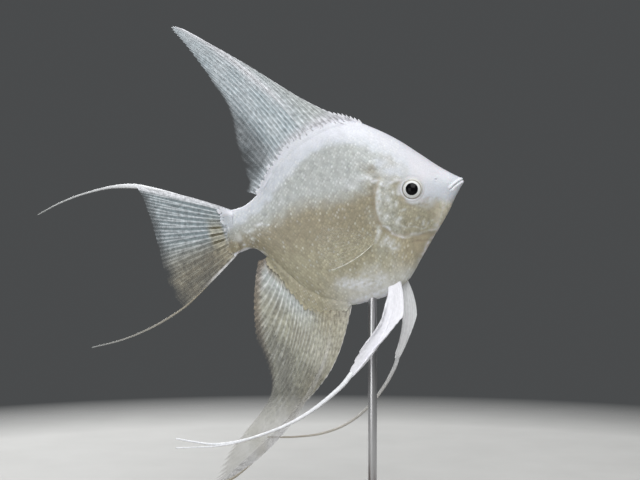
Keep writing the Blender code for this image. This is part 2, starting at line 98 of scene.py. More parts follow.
# Low ridges and shallow folds of the head: the line, its width and its height
RIDGES = [
    ([(54.2, 9.4), (55.8, 6.4), (56.0, 2.0), (56.2, -2.6), (57.4, -6.8)], 0.7, 0.08),
    ([(52.8, -2.4), (53.4, -7.4), (55.5, -10.4), (59.1, -12.0), (63.2, -12.0), (67.2, -9.8), (68.6, -7.6)],
     0.34, 0.10),
    ([(53.6, -3.0), (54.2, -7.2), (56.1, -9.8), (59.4, -11.1), (63.0, -11.1), (66.5, -9.2)], 0.40, -0.07),
    ([(54.0, -15.4), (58.9, -16.2), (64.0, -17.0)], 0.30, -0.14),
    ([(56.0, -1.4), (57.7, -3.5), (60.2, -4.7), (63.6, -4.7), (66.4, -3.3)], 0.45, -0.10),
    (BROW_LINE, 0.55, 0.10),
    ([(72.9, -2.2), (71.6, -4.4), (70.4, -6.8), (69.6, -9.2)], 0.24, -0.12),
    ([(73.3, -1.6), (72.9, 0.8), (73.7, 3.6)], 0.24, -0.09),
    (COVER_CORNER_LINE, 0.7, 0.14),
    ([(49.2, -7.6), (50.0, -9.2), (51.3, -10.9), (54.1, -13.3), (57.5, -13.7), (61.5, -13.7), (65.2, -13.1)],
     0.45, 0.12),
]

# A fin: lines through its rays' roots and tips, the angles that the rays leave the body at, how far out along
# them they bend, how many there are, and how far the sheet ripples to the side
Fin = namedtuple("Fin", "roots tips angles reach rays sway")
RIPPLE_LENGTH = 7.5
DORSAL_SPINES = Fin(
    roots=[(50.6, 0, 23.4), (42.0, 0, 25.6), (34.8, 0, 25.2), (31.4, 0, 24.3)],
    tips=[(49.0, 0, 27.0), (43.9, 0, 30.2), (38.3, 0, 32.7), (30.7, 0, 38.7), (22.8, 0, 46.3),
          (14.8, 0, 54.1), (7.2, 0, 61.0)],
    angles=(50, 57, 64), reach=0.567, rays=13, sway=0.0)
DORSAL_SAIL = Fin(
    roots=[(31.0, 0, 24.1), (22.7, 0, 20.4), (15.8, 0, 15.0), (10.4, 0, 9.2)],
    tips=[(-5.4, 0, 71.4), (-7.2, 0, 71.6), (-6.2, 0, 69.2), (-3.6, 0, 64.6), (-0.4, 0, 58.0),
          (2.4, 0, 51.4), (4.5, 0, 44.8), (4.9, 0, 38.0), (4.2, 0, 31.2), (3.7, 0, 24.4), (4.2, 0, 18.0),
          (6.6, 0, 11.6)],
    angles=(64, 66, 67, 67, 62, 50), reach=0.6, rays=20, sway=0.9)
ANAL_SPINES = Fin(
    roots=[(33.4, 0, -30.4), (30.4, 0, -30.3), (27.9, 0, -29.7)],
    tips=[(32.3, 0, -34.2), (28.9, 0, -41.0), (24.8, 0, -48.0), (19.9, 0, -54.0), (15.0, 0, -58.2),
          (10.8, 0, -61.4)],
    angles=(-74, -74.5, -75.5), reach=0.524, rays=7, sway=0.0)
ANAL_SAIL = Fin(
    roots=[(26.6, 0, -29.1), (18.8, 0, -22.4), (13.4, 0, -15.4), (9.6, 0, -9.8)],
    tips=[(-28.4, 0, -84.8), (-28.9, 0, -83.6), (-28.4, 0, -82.0), (-24.2, 0, -75.6), (-16.0, 0, -69.2),
          (-7.4, 0, -63.2), (-1.8, 0, -56.5), (-0.9, 0, -49.0), (-1.2, 0, -41.5), (-0.9, 0, -34.0),
          (0.2, 0, -26.5), (2.2, 0, -18.6), (5.0, 0, -11.5)],
    angles=(-77, -78, -78, -76, -66, -50), reach=0.54, rays=23, sway=0.9)
TAIL = Fin(
    roots=[(0.6, 0, 6.5), (-0.4, 0, 2.4), (-0.4, 0, -2.4), (0.6, 0, -6.6)],
    tips=[(-30.8, 1.6, 22.0), (-29.2, 1.9, 17.4), (-28.4, 2.1, 11.2), (-28.0, 2.2, 4.4),
          (-27.8, 2.1, -2.5), (-27.4, 1.9, -9.4), (-26.4, 1.6, -16.2), (-23.4, 1.2, -21.8)],
    angles=(32, 14, 0, -16, -36), reach=0.5, rays=18, sway=0.7)
PELVIC_RIGHT = Fin(
    roots=[(50.8, -2.4, -28.0), (48.8, -2.2, -28.7), (46.6, -2.0, -29.2)],
    tips=[(49.4, -6.0, -39.6), (46.4, -6.8, -41.8), (41.6, -8.0, -45.6), (36.8, -9.0, -48.8),
          (31.4, -10.0, -53.0), (26.4, -10.6, -56.4), (29.6, -10.2, -51.4), (34.8, -9.2, -46.0),
          (40.8, -7.8, -41.4), (43.6, -6.0, -36.6)],
    angles=(-94, -84, -80, -74, -70), reach=0.5, rays=10, sway=0.0)
PELVIC_LEFT = Fin(
    roots=[(52.4, 2.6, -27.4), (51.2, 2.4, -27.9), (49.8, 2.2, -28.5)],
    tips=[(52.6, 6.5, -41.2), (49.6, 8.0, -46.0), (46.4, 9.5, -50.2), (42.4, 10.8, -54.7),
          (41.8, 10.5, -53.2), (44.2, 9.4, -49.4), (46.6, 8.0, -44.8), (48.6, 6.0, -39.4)],
    angles=(-104, -92, -84), reach=0.53, rays=8, sway=0.0)
PECTORAL_LEFT = Fin(
    roots=[(46.4, 6.2, -9.8), (46.0, 6.2, -11.5), (46.1, 6.0, -13.2)],
    tips=[(31.0, 13.2, -4.2), (28.9, 14.1, -7.4), (28.0, 14.4, -11.2), (28.4, 14.0, -15.2),
          (30.6, 12.6, -19.6)],
    angles=(16, -4, -36), reach=0.5, rays=12, sway=0.3)

TAIL_STREAMER_UPPER = [(-29.6, 1.6, 21.5), (-37.4, 2.0, 23.2), (-47.6, 3.0, 23.4), (-58.4, 4.0, 22.1),
                       (-67.8, 5.0, 19.7)]
TAIL_STREAMER_LOWER = [(-22.0, 1.2, -21.0), (-29.0, 1.2, -23.9), (-36.5, 1.4, -26.2), (-47.0, 2.0, -28.1),
                       (-58.6, 2.8, -28.6)]
ANAL_STREAMER = [(-27.4, 0, -83.4), (-32.4, -0.6, -85.9), (-35.6, -1.4, -86.9), (-39.0, -2.4, -87.5)]
PELVIC_STREAMER_RIGHT = [
    (29.6, -10.0, -53.6), (26.3, -10.7, -56.5), (20.4, -11.6, -60.0), (13.4, -12.2, -63.3),
    (5.4, -12.4, -65.9), (-3.4, -12.1, -67.5), (-12.4, -11.4, -68.3), (-21.5, -10.4, -67.6),
    (-27.6, -9.2, -65.8), (-34.0, -7.8, -63.6)]
PELVIC_STREAMER_RIGHT_TIP = [(-6.0, -12.0, -67.9), (-14.0, -11.4, -68.6), (-21.8, -10.9, -68.3),
                             (-27.6, -10.9, -67.4), (-34.0, -10.6, -66.4)]
PELVIC_STREAMER_LEFT = [
    (43.6, 10.2, -52.0), (42.1, 10.9, -55.1), (38.6, 11.8, -59.8), (33.2, 12.6, -65.2), (26.8, 12.9, -69.9),
    (19.8, 12.7, -72.9), (12.0, 12.0, -74.1), (3.0, 11.0, -73.4), (-7.0, 9.8, -71.4)]

# ---------------------------------------------------------------- how fine the looks are
SKIN_IN = -0.25              # the skin lies this far inside the solids, under the scales
SKIN_SIDES = 280
BODY_STEP, HEAD_STEP = 0.42, 0.22
HEAD_FROM = 46.0
FLANK_CROWDING = 0.22        # how strongly the skin's rows of faces crowd on the flanks
CLOUD_WAVES = 9
SEAM = 0.0001                # points nearer than this are merged


# ---------------------------------------------------------------- curves and shares
def smooth(knots, values, at):
    """Values between knots, on a smooth curve through them."""
    knots, values, at = np.asarray(knots, float), np.asarray(values, float), np.asarray(at, float)
    slopes = np.gradient(values, knots, axis=0)
    i = np.clip(np.searchsorted(knots, at, side="right") - 1, 0, len(knots) - 2)
    span = (knots[i + 1] - knots[i]).reshape(-1, *[1] * (values.ndim - 1))
    f = (at - knots[i]).reshape(span.shape) / span
    return ((2 * f**3 - 3 * f**2 + 1) * values[i] + (f**3 - 2 * f**2 + f) * span * slopes[i]
            + (3 * f**2 - 2 * f**3) * values[i + 1] + (f**3 - f**2) * span * slopes[i + 1])


def evenly(values, share):
    """Values on a smooth curve through a row of evenly spaced ones."""
    return smooth(np.linspace(0, 1, len(values)), values, share)


def along(points, shares):
    """Points at these shares of the length of a smooth curve through the given ones."""
    points = np.asarray(points, float)
    steps = np.linalg.norm(np.diff(points, axis=0), axis=1)
    return smooth(np.concatenate([[0], np.cumsum(steps)]) / steps.sum(), points, shares)


def ramp(value, low, high):
    """0 below low and 1 above high, with a soft S between."""
    f = np.clip((np.asarray(value, float) - low) / (high - low), 0, 1)
    return f * f * (3 - 2 * f)


def bump(value, middle, width):
    """1 at the middle, falling away on both sides over about width."""
    return np.exp(-(((value - middle) / width) ** 2))


def beside(x, z, line, within=None, samples=40):
    """How far points are from a line on the side of the fish, over 0 to its left, and the share along it.

    Points further than within from the line's own box are only said to be far away.
    """
    curve = along(line, np.linspace(0, 1, samples))
    signed, share = np.full(len(x), 99.0), np.zeros(len(x))
    near = slice(None)
    if within:
        low, high = curve.min(axis=0) - within, curve.max(axis=0) + within
        near = np.flatnonzero((x > low[0]) & (x < high[0]) & (z > low[1]) & (z < high[1]))
    x, z = x[near], z[near]
    best, best_signed, best_share = np.full(len(x), 1e9), np.zeros(len(x)), np.zeros(len(x))
    for k, (a, d) in enumerate(zip(curve[:-1], np.diff(curve, axis=0))):
        px, pz = x - a[0], z - a[1]
        f = np.clip((px * d[0] + pz * d[1]) / (d @ d), 0, 1)
        gap = np.hypot(px - f * d[0], pz - f * d[1])
        nearer = gap < best
        best[nearer] = gap[nearer]
        best_signed[nearer] = np.where(d[0] * pz - d[1] * px >= 0, gap, -gap)[nearer]
        best_share[nearer] = (k + f[nearer]) / (samples - 1)
    signed[near], share[near] = best_signed, best_share
    return signed, share


def ends_fade(share, fade):
    """1 along the middle of a line, falling to 0 at both its ends."""
    return ramp(share, 0, fade) * ramp(1 - share, 0, fade)


def clouds(x, z, size, seed):
    """Soft random light and dark, about -1 to 1, in patches of about this size."""
    chance = np.random.default_rng(seed)
    total = np.zeros(len(x))
    for _ in range(CLOUD_WAVES):
        way, start = chance.uniform(0, TAU, 2)
        wave = TAU / (size * chance.uniform(0.6, 1.6))
        total += np.sin((x * math.cos(way) + z * math.sin(way)) * wave + start)
    return total / math.sqrt(CLOUD_WAVES)


def mix(a, b, share):
    """Colour a turning into colour b."""
    share = np.clip(np.asarray(share, float), 0, 1)[:, None]
    return a * (1 - share) + np.asarray(b, float) * share


def srgb(red, green, blue):
    """A colour given on the usual 0 to 255 scale, as linear light."""
    c = np.array([red, green, blue]) / 255
    return np.where(c <= 0.04045, c / 12.92, ((c + 0.055) / 1.055) ** 2.4)


# ---------------------------------------------------------------- the surfaces of body and fins
def body_point(x, turn, grow=0.0):
    """Points on the body at x, at an angle turned from the back over the fish's left side."""
    top, bottom, half_width = smooth(BODY[:, 0], BODY[:, 1:], x).T
    middle, half_height = (top + bottom) / 2, (top - bottom) / 2 + grow
    sine = np.sin(turn)
    y = (half_width + grow) * np.sign(sine) * np.abs(sine) ** SECTION_PINCH
    return np.stack([x, y, middle + half_height * np.cos(turn)], axis=1)


def body_normal(x, turn):
    """Which way the body's surface faces at those points."""
    dx, dt = 0.05, 0.004
    forward = body_point(x + dx, turn) - body_point(x - dx, turn)
    round_it = body_point(x, turn + dt) - body_point(x, turn - dt)
    normal = np.cross(forward, round_it)
    return normal / np.linalg.norm(normal, axis=1)[:, None]


def back_line(x):
    return smooth(BODY[:, 0], BODY[:, 1], x)


def belly_line(x):
    return smooth(BODY[:, 0], BODY[:, 2], x)


def out_of_body(place):
    """How far points in the middle plane are beyond the back or the belly."""
    x = np.clip(place[:, 0], BODY[0, 0], BODY[-1, 0])
    return np.maximum(place[:, 2] - back_line(x), belly_line(x) - place[:, 2])


def fin_point(fin, u, v):
    """Points of a fin at share u from the first ray to the last and share v out to the tips."""
    root, tip = along(fin.roots, u), evenly(fin.tips, u)
    angle = np.radians(evenly(fin.angles, u))
    lean = np.stack([-np.cos(angle), np.zeros_like(angle), np.sin(angle)], axis=1)
    bend = root + lean * (np.linalg.norm(tip - root, axis=1) * fin.reach)[:, None]
    bend[:, 1] = (root[:, 1] + tip[:, 1]) / 2
    v = v[:, None]
    point = (1 - v) ** 2 * root + 2 * v * (1 - v) * bend + v**2 * tip
    point[:, 1] += fin.sway * v[:, 0] * np.sin((point[:, 0] + np.abs(point[:, 2])) / RIPPLE_LENGTH)
    return point


def body_half(x, z):
    """How far the body's side is from the middle plane."""
    top, bottom, half = smooth(BODY[:, 0], BODY[:, 1:], np.clip(x, BODY[0, 0], BODY[-1, 0])).T
    up = np.clip((2 * z - top - bottom) / (top - bottom), -1, 1)
    return half * (1 - up**2) ** (SECTION_PINCH / 2) * (x >= BODY[0, 0])


class Fan:
    """A fin's sheet: one fin, or a spiny front and the soft sail that it runs on into."""

    def __init__(self, sail, front=None):
        self.sail, self.front = sail, front
        self.spines = front.rays if front else 0
        self.rays = self.spines + sail.rays

    def point(self, u, v):
        """Points at share u across all the rays and share v out to the tips."""
        t = u * (self.rays - 1)
        soft_part = fin_point(self.sail, np.clip((t - self.spines) / (self.sail.rays - 1), 0, 1), v)
        if not self.front:
            return soft_part
        spiny_part = fin_point(self.front, np.clip(t / (self.spines - 1), 0, 1), v)
        share = np.clip(t - (self.spines - 1), 0, 1)[:, None]
        return spiny_part * (1 - share) + soft_part * share

    def length(self, u):
        return np.linalg.norm(self.point(u, np.ones_like(u)) - self.point(u, np.zeros_like(u)), axis=1)


DORSAL, ANAL = Fan(DORSAL_SAIL, DORSAL_SPINES), Fan(ANAL_SAIL, ANAL_SPINES)


def from_eye(x, z):
    return np.hypot(x - EYE_X, z - EYE_Z)


def ahead_of_gill(x, z):
    return beside(x, z, GILL_LINE)[0]


def mirrored(fin):
    """The fin on the other side of the fish."""
    other = [[(x, -y, z) for x, y, z in points] for points in (fin.roots, fin.tips)]
    return fin._replace(roots=other[0], tips=other[1])


# ---------------------------------------------------------------- modelling by hand
def take(piece):
    """Makes a piece the only one selected."""
    bpy.ops.object.select_all(action="DESELECT")
    bpy.context.view_layer.objects.active = piece
    piece.select_set(True)


def edit(piece, selected="SELECT", kind="VERT"):
    """Into edit mode with all or nothing of a piece selected, by its points, edges or faces."""
    take(piece)
    bpy.ops.object.mode_set(mode="EDIT")
    bpy.ops.mesh.select_mode(type=kind)
    bpy.ops.mesh.select_all(action=selected)


def done():
    bpy.ops.object.mode_set(mode="OBJECT")


def choose(parts, wanted):
    """Goes on in edit mode with only the wanted edges or faces selected."""
    done()
    for part in parts:
        part.select = bool(wanted(part))
    bpy.ops.object.mode_set(mode="EDIT")


def added(name, primitive, **sizes):
    """A new primitive, with everything else deselected."""
    bpy.ops.object.select_all(action="DESELECT")
    primitive(**sizes)
    piece = bpy.context.object
    piece.name = piece.data.name = name
    return piece


def points_of(piece):
    flat = np.empty(len(piece.data.vertices) * 3)
    piece.data.vertices.foreach_get("co", flat)
    return flat.reshape(-1, 3)


def move_points(piece, points):
    piece.data.vertices.foreach_set("co", np.asarray(points, float).ravel())
    piece.data.update()


def close_up(piece, merge=0.0):
    """Merges points that lie together, if merge is given, and turns all faces outwards."""
    edit(piece)
    if merge:
        bpy.ops.mesh.remove_doubles(threshold=merge)
    bpy.ops.mesh.normals_make_consistent(inside=False)
    done()


def modified(piece, kind, **settings):
    """A modifier put on and applied."""
    take(piece)
    modifier = piece.modifiers.new(kind.title(), kind)
    for key, value in settings.items():
        setattr(modifier, key, value)
    bpy.ops.object.modifier_apply(modifier=modifier.name)


def paint(piece, colour, alpha=1.0):
    """Writes a colour for each point, and how solid it looks, in an attribute that the finishes read."""
    rgba = np.ones((len(piece.data.vertices), 4), np.float32)
    rgba[:, :3] = np.clip(colour, 0, 1)
    rgba[:, 3] = np.clip(alpha, 0, 1)
    tint = piece.data.color_attributes.new(name="tint", type="FLOAT_COLOR", domain="POINT")
    tint.data.foreach_set("color", rgba.ravel())


def lay_map(piece, name, u, v):
    """A UV map that gives each point of a piece its place (u, v)."""
    layer = piece.data.uv_layers.new(name=name)
    corner = np.empty(len(piece.data.loops), int)
    piece.data.loops.foreach_get("vertex_index", corner)
    layer.data.foreach_set("uv", np.stack([u[corner], v[corner]], axis=1).astype(np.float32).ravel())


def sheet_of(name, columns, rows):
    """A flat grid, and the column and the row share, 0 to 1, of each of its points."""
    piece = added(name, bpy.ops.mesh.primitive_grid_add, x_subdivisions=columns, y_subdivisions=rows, size=1)
    flat = points_of(piece)
    return piece, flat[:, 0] + 0.5, flat[:, 1] + 0.5


def set_up(piece, place, finish, sharp, slot, *nodes):
    """Shades a finished piece and sets it into the room, instead of the solids that it stands for.

    place turns the piece's millimetres into the room's metres. Edges past sharp degrees keep their edge.
    """
    take(piece)
    bpy.ops.object.shade_smooth_by_angle(angle=math.radians(sharp))
    piece.data.materials.append(finish)
    piece.matrix_world = place
    bpy.ops.object.transform_apply(location=True, rotation=True, scale=True)
    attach(piece, "root")
    if nodes:
        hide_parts(*nodes)


# ---------------------------------------------------------------- finishes
class Finish:
    """A material, and short ways to add nodes to it."""

    def __init__(self, name, **constants):
        self.material = bpy.data.materials.new(name)
        self.material.use_nodes = True
        self.nodes, self.links = self.material.node_tree.nodes, self.material.node_tree.links
        self.shader = self.nodes["Principled BSDF"]
        for socket, value in constants.items():
            self.shader.inputs[socket.replace("_", " ")].default_value = value

    def node(self, kind, settings=None, **inputs):
        made = self.nodes.new("ShaderNode" + kind)
        for key, value in (settings or {}).items():
            setattr(made, key, value)
        for socket, value in inputs.items():
            self.put(made.inputs[socket.replace("_", " ")], value)
        return made

    def put(self, target, value):
        if isinstance(value, bpy.types.NodeSocket):
            self.links.new(value, target)
        else:
            target.default_value = value

    def math(self, operation, *values):
        made = self.nodes.new("ShaderNodeMath")
        made.operation = operation
        for target, value in zip(made.inputs, values):
            self.put(target, value)
        return made.outputs[0]

    def vector(self, operation, a, b=None):
        made = self.nodes.new("ShaderNodeVectorMath")
        made.operation = operation
        self.put(made.inputs[0], a)
        if b is not None:
            self.put(made.inputs[1], b)
        return made.outputs["Value" if operation == "LENGTH" else "Vector"]

    def mixed(self, share, a, b, blend="MIX"):
        made = self.node("Mix", {"data_type": "RGBA", "blend_type": blend})
        for target, value in zip((made.inputs[0], made.inputs[6], made.inputs[7]), (share, a, b)):
            self.put(target, value)
        return made.outputs[2]

    def toned(self, colour, tone):
        """A colour made lighter or darker by a tone around 1."""
        grey = self.node("CombineColor", Red=tone, Green=tone, Blue=tone).outputs[0]
        return self.mixed(1.0, colour, grey, "MULTIPLY")

    def ramp(self, value, stops):
        made = self.node("ValToRGB", Fac=value)
        while len(made.color_ramp.elements) < len(stops):
            made.color_ramp.elements.new(1.0)
        for element, (place, colour) in zip(made.color_ramp.elements, stops):
            element.position, element.color = place, (*colour, 1.0)
        return made.outputs[0]

    def noise(self, where, scale, detail=3.0, roughness=0.55):
        made = self.node("TexNoise", Vector=where, Scale=scale, Detail=detail, Roughness=roughness)
        return made.outputs["Fac"]

    def squeezed(self, where, scale):
        return self.node("Mapping", Vector=where, Scale=scale).outputs[0]

    def into(self, socket, value):
        self.links.new(value, self.shader.inputs[socket])

    def roughen(self, height, strength, distance):
        self.into("Normal", self.node("Bump", Height=height, Strength=strength, Distance=distance).outputs[0])


def flesh_finish(name, roughness, coat, grain_depth):
    """Wet skin in the colours painted on the piece, with a fine grain and paler and darker clouds."""
    f = Finish(name, Roughness=roughness, Coat_Weight=coat, Coat_Roughness=0.15, IOR=1.42,
               Subsurface_Weight=0.06, Subsurface_Scale=0.0015)
    place = f.node("TexCoord").outputs["Object"]
    tint = f.node("Attribute", {"attribute_name": "tint"}).outputs["Color"]
    patches = f.noise(place, 420.0, 4.0)
    grain = f.noise(place, 2200.0, 3.0, 0.6)
    tone = f.math("MULTIPLY_ADD", grain, 0.34, f.math("MULTIPLY_ADD", patches, 0.20, 0.73))
    f.into("Base Color", f.toned(tint, tone))
    f.into("Roughness", f.math("MULTIPLY_ADD", patches, 0.2, roughness - 0.1))
    f.roughen(grain, 0.6, grain_depth)
    return f.material


def fin_finish(name, segment_mm, roughness, contrast):
    """A thin satin fin: fine joints and dashes cross its rays, and its web is as clear as it is painted."""
    f = Finish(name, Roughness=roughness, Coat_Weight=0.25, Coat_Roughness=0.2, IOR=1.40)
    place = f.node("TexCoord").outputs["Object"]
    painted = f.node("Attribute", {"attribute_name": "tint"})
    rays = f.node("UVMap", {"uv_map": "rays"}).outputs[0]
    out_along = f.node("SeparateXYZ", Vector=rays).outputs[1]
    drift = f.math("MULTIPLY", f.noise(place, 900.0, 2.0), 5.0)
    wave = f.math("SINE", f.math("MULTIPLY_ADD", out_along, TAU / segment_mm, drift))
    joints = f.math("POWER", f.math("MULTIPLY_ADD", wave, 0.5, 0.5), 3.0)
    mottle = f.noise(place, 1100.0, 4.0, 0.65)
    dashes = f.math("SUBTRACT", f.noise(f.squeezed(rays, (1.3, 0.70, 1.0)), 1.0, 1.0), 0.5)
    tone = f.math("MULTIPLY_ADD", mottle, 0.28 * contrast, 1.07 - 0.2 * contrast)
    tone = f.math("MULTIPLY_ADD", joints, -0.1 * contrast, tone)
    tone = f.math("MULTIPLY_ADD", dashes, 1.4 * contrast, tone)
    f.into("Base Color", f.toned(painted.outputs["Color"], tone))
    f.into("Alpha", painted.outputs["Alpha"])
    f.roughen(f.math("SUBTRACT", mottle, joints), 0.5, 0.00006)
    f.material.surface_render_method = "DITHERED"
    return f.material


# ---------------------------------------------------------------- the fish's colours
# BACK_WHITE is the fish's white; over the back it stands partly for painted top light
BACK_WHITE = srgb(214, 214, 221)
BACK_BLUE = srgb(198, 201, 207)
SNOUT = srgb(194, 199, 206)
UPPER_FLANK = srgb(173, 175, 173)
MID_FLANK = srgb(143, 134, 112)
LOW_FLANK = srgb(164, 157, 134)
BELLY = srgb(200, 197, 187)
CHEEK = srgb(156, 150, 130)
OPERCLE = srgb(164, 163, 152)
CHIN = srgb(197, 192, 172)
THROAT = srgb(168, 158, 134)
PEARL = srgb(222, 224, 226)
WHITE = srgb(232, 233, 238)
# a darker beige: in soft spots on the flank, and painted shade in the grooves and hollows of the head
BEIGE_TONE_AND_SHADE = srgb(146, 138, 120)
# painted shade for the nostril, the mouth's slit and the folds of throat and gill cover
DEEP_PAINTED_SHADE = srgb(104, 95, 80)
# painted shade of the skin inside the eye's socket
SOCKET_PAINTED_SHADE = srgb(150, 146, 136)

# Soft strokes of colour on the flank and the head: the line, its width, the colour and its strength
# Some strokes are painted shade, in the grooves and folds of the head, as marked below
STROKES = [
    # painted shade under the eye, in the groove below it and the hollow before it
    ([(60.5, -2.6), (64.0, -3.6), (68.0, -3.8), (72.4, -4.4)], 1.1, BEIGE_TONE_AND_SHADE, 0.35),
    ([(57.0, 0.6), (57.9, -2.2), (60.8, -4.5), (64.8, -4.6), (67.4, -3.8)], 0.75, BEIGE_TONE_AND_SHADE, 0.75),
    ([(51.4, 5.4), (50.5, 3.0), (50.1, -0.3), (49.2, -3.4), (48.9, -7.4)], 1.1, PEARL, 0.62),
    ([(56.0, 4.4), (53.6, 3.4), (52.6, 0.4), (52.4, -3.0)], 1.2, PEARL, 0.28),
    (BROW_LINE, 0.55, WHITE, 0.80),
    ([(49.2, -7.6), (50.0, -9.2), (51.3, -10.9), (54.1, -13.3), (57.0, -13.6)], 0.38, WHITE, 0.75),
    ([(54.1, -13.3), (57.5, -13.7), (61.5, -13.7), (65.2, -13.1), (68.0, -11.2)], 0.34, PEARL, 0.55),
    ([(53.0, -3.4), (53.6, -7.4), (55.6, -10.2), (59.1, -11.7), (63.2, -11.8), (67.0, -9.6), (68.4, -7.2)],
     0.32, PEARL, 0.36),
    ([(70.4, -4.8), (69.2, -8.0), (66.8, -10.8)], 0.34, PEARL, 0.40),
    ([(72.6, -1.6), (71.2, -4.6), (69.6, -8.4)], 0.45, PEARL, 0.35),
    (COVER_CORNER_LINE, 0.75, PEARL, 0.62),
    ([(47.8, -12.2), (50.3, -15.1), (53.4, -18.0)], 1.6, PEARL, 0.6),
    ([(28.0, -23.4), (33.0, -25.0), (38.0, -26.2), (43.0, -26.2), (48.0, -24.6)], 2.1, WHITE, 0.8),
    ([(37.0, -23.2), (42.0, -22.0), (47.0, -20.0)], 1.5, PEARL, 0.35),
    ([(31.0, -31.8), (38.0, -31.4), (45.6, -30.2), (50.0, -28.6)], 1.5, WHITE, 0.95),
    ([(69.5, -9.5), (65.0, -15.0), (60.0, -20.8), (56.0, -25.6), (52.6, -28.8)], 0.7, WHITE, 0.7),
    ([(-2.0, -7.8), (2.0, -7.6), (5.4, -7.8), (8.2, -10.6)], 0.7, WHITE, 0.8),
    # painted shade in the two folds of the throat and in the groove by the gill cover's lower edge
    ([(54.4, -15.0), (58.9, -15.9), (64.0, -16.8)], 0.32, DEEP_PAINTED_SHADE, 0.55),
    ([(55.4, -14.1), (58.4, -14.6), (61.6, -15.0)], 0.28, DEEP_PAINTED_SHADE, 0.35),
    ([(51.2, -8.6), (53.2, -11.0), (55.4, -12.1), (58.0, -12.6)], 0.4, DEEP_PAINTED_SHADE, 0.30),
    ([(59.0, -19.4), (56.4, -22.6), (54.0, -25.4)], 1.6, BEIGE_TONE_AND_SHADE, 0.35),
]
# Soft spots: place, size along and up, colour and strength. BACK_SHADES are painted shade in the dip over the
# gill cover, and lie under the white of the back.
BACK_SHADES = [(49.8, 9.8, 2.3, 1.2, BEIGE_TONE_AND_SHADE, 0.75), (46.8, 11.4, 2.0, 1.0, BEIGE_TONE_AND_SHADE, 0.35)]
SPOTS = [
    (55.6, 8.4, 3.4, 2.6, BACK_BLUE, 1.0), (58.6, 7.6, 2.0, 2.2, BACK_BLUE, 1.0),
    (53.0, 12.0, 3.0, 1.8, BACK_BLUE, 0.9), (42.4, 6.0, 2.4, 0.9, PEARL, 0.42),
    (45.6, 8.0, 1.6, 1.0, PEARL, 0.5), (40.0, 8.6, 3.4, 1.6, PEARL, 0.2),
    (55.3, 1.4, 0.7, 0.8, PEARL, 0.55), (57.0, 0.2, 0.5, 0.5, PEARL, 0.4),
    (55.2, -2.8, 0.7, 0.8, PEARL, 0.6), (53.1, -0.4, 0.7, 0.9, PEARL, 0.5),
    (53.0, -3.2, 0.6, 0.9, PEARL, 0.4), (54.9, -7.8, 0.9, 0.7, PEARL, 0.6),
    (51.3, -6.4, 0.8, 1.2, PEARL, 0.45), (57.2, -5.2, 0.6, 0.6, PEARL, 0.4),
    (60.6, -8.8, 0.5, 0.4, PEARL, 0.4), (58.2, -9.8, 0.5, 0.4, PEARL, 0.4),
    (62.6, -10.4, 0.6, 0.4, PEARL, 0.5), (66.4, -5.6, 2.2, 1.4, CHEEK, 0.5),
    (8.7, 0.3, 1.3, 0.5, WHITE, 0.8), (11.4, -0.4, 0.9, 0.5, WHITE, 0.6),
    (5.4, -0.6, 1.3, 0.6, PEARL, 0.5), (2.0, -5.4, 0.8, 0.5, WHITE, 0.75),
    (4.8, -4.2, 0.8, 0.5, PEARL, 0.5), (0.4, -2.6, 1.4, 1.0, PEARL, 0.35),
    (41.9, -25.8, 1.4, 0.5, BEIGE_TONE_AND_SHADE, 0.6), (47.0, -17.0, 2.6, 2.0, OPERCLE, 0.5),
    (46.4, -5.0, 1.6, 3.0, OPERCLE, 0.4), (12.0, -6.0, 4.5, 3.0, BEIGE_TONE_AND_SHADE, 0.25),
    (41.0, -4.0, 6.0, 4.0, BEIGE_TONE_AND_SHADE, 0.22),
]
EDGE_WAVER = 0.45            # how far the edges of the markings wander
SURE_REACH = (-2, 77)        # the back and belly lines are used between these places


def spotted(colour, x, z, spots):
    for spot_x, spot_z, wide, tall, tone, strength in spots:
        colour = mix(colour, tone, bump(x, spot_x, wide) * bump(z, spot_z, tall) * strength)
    return colour


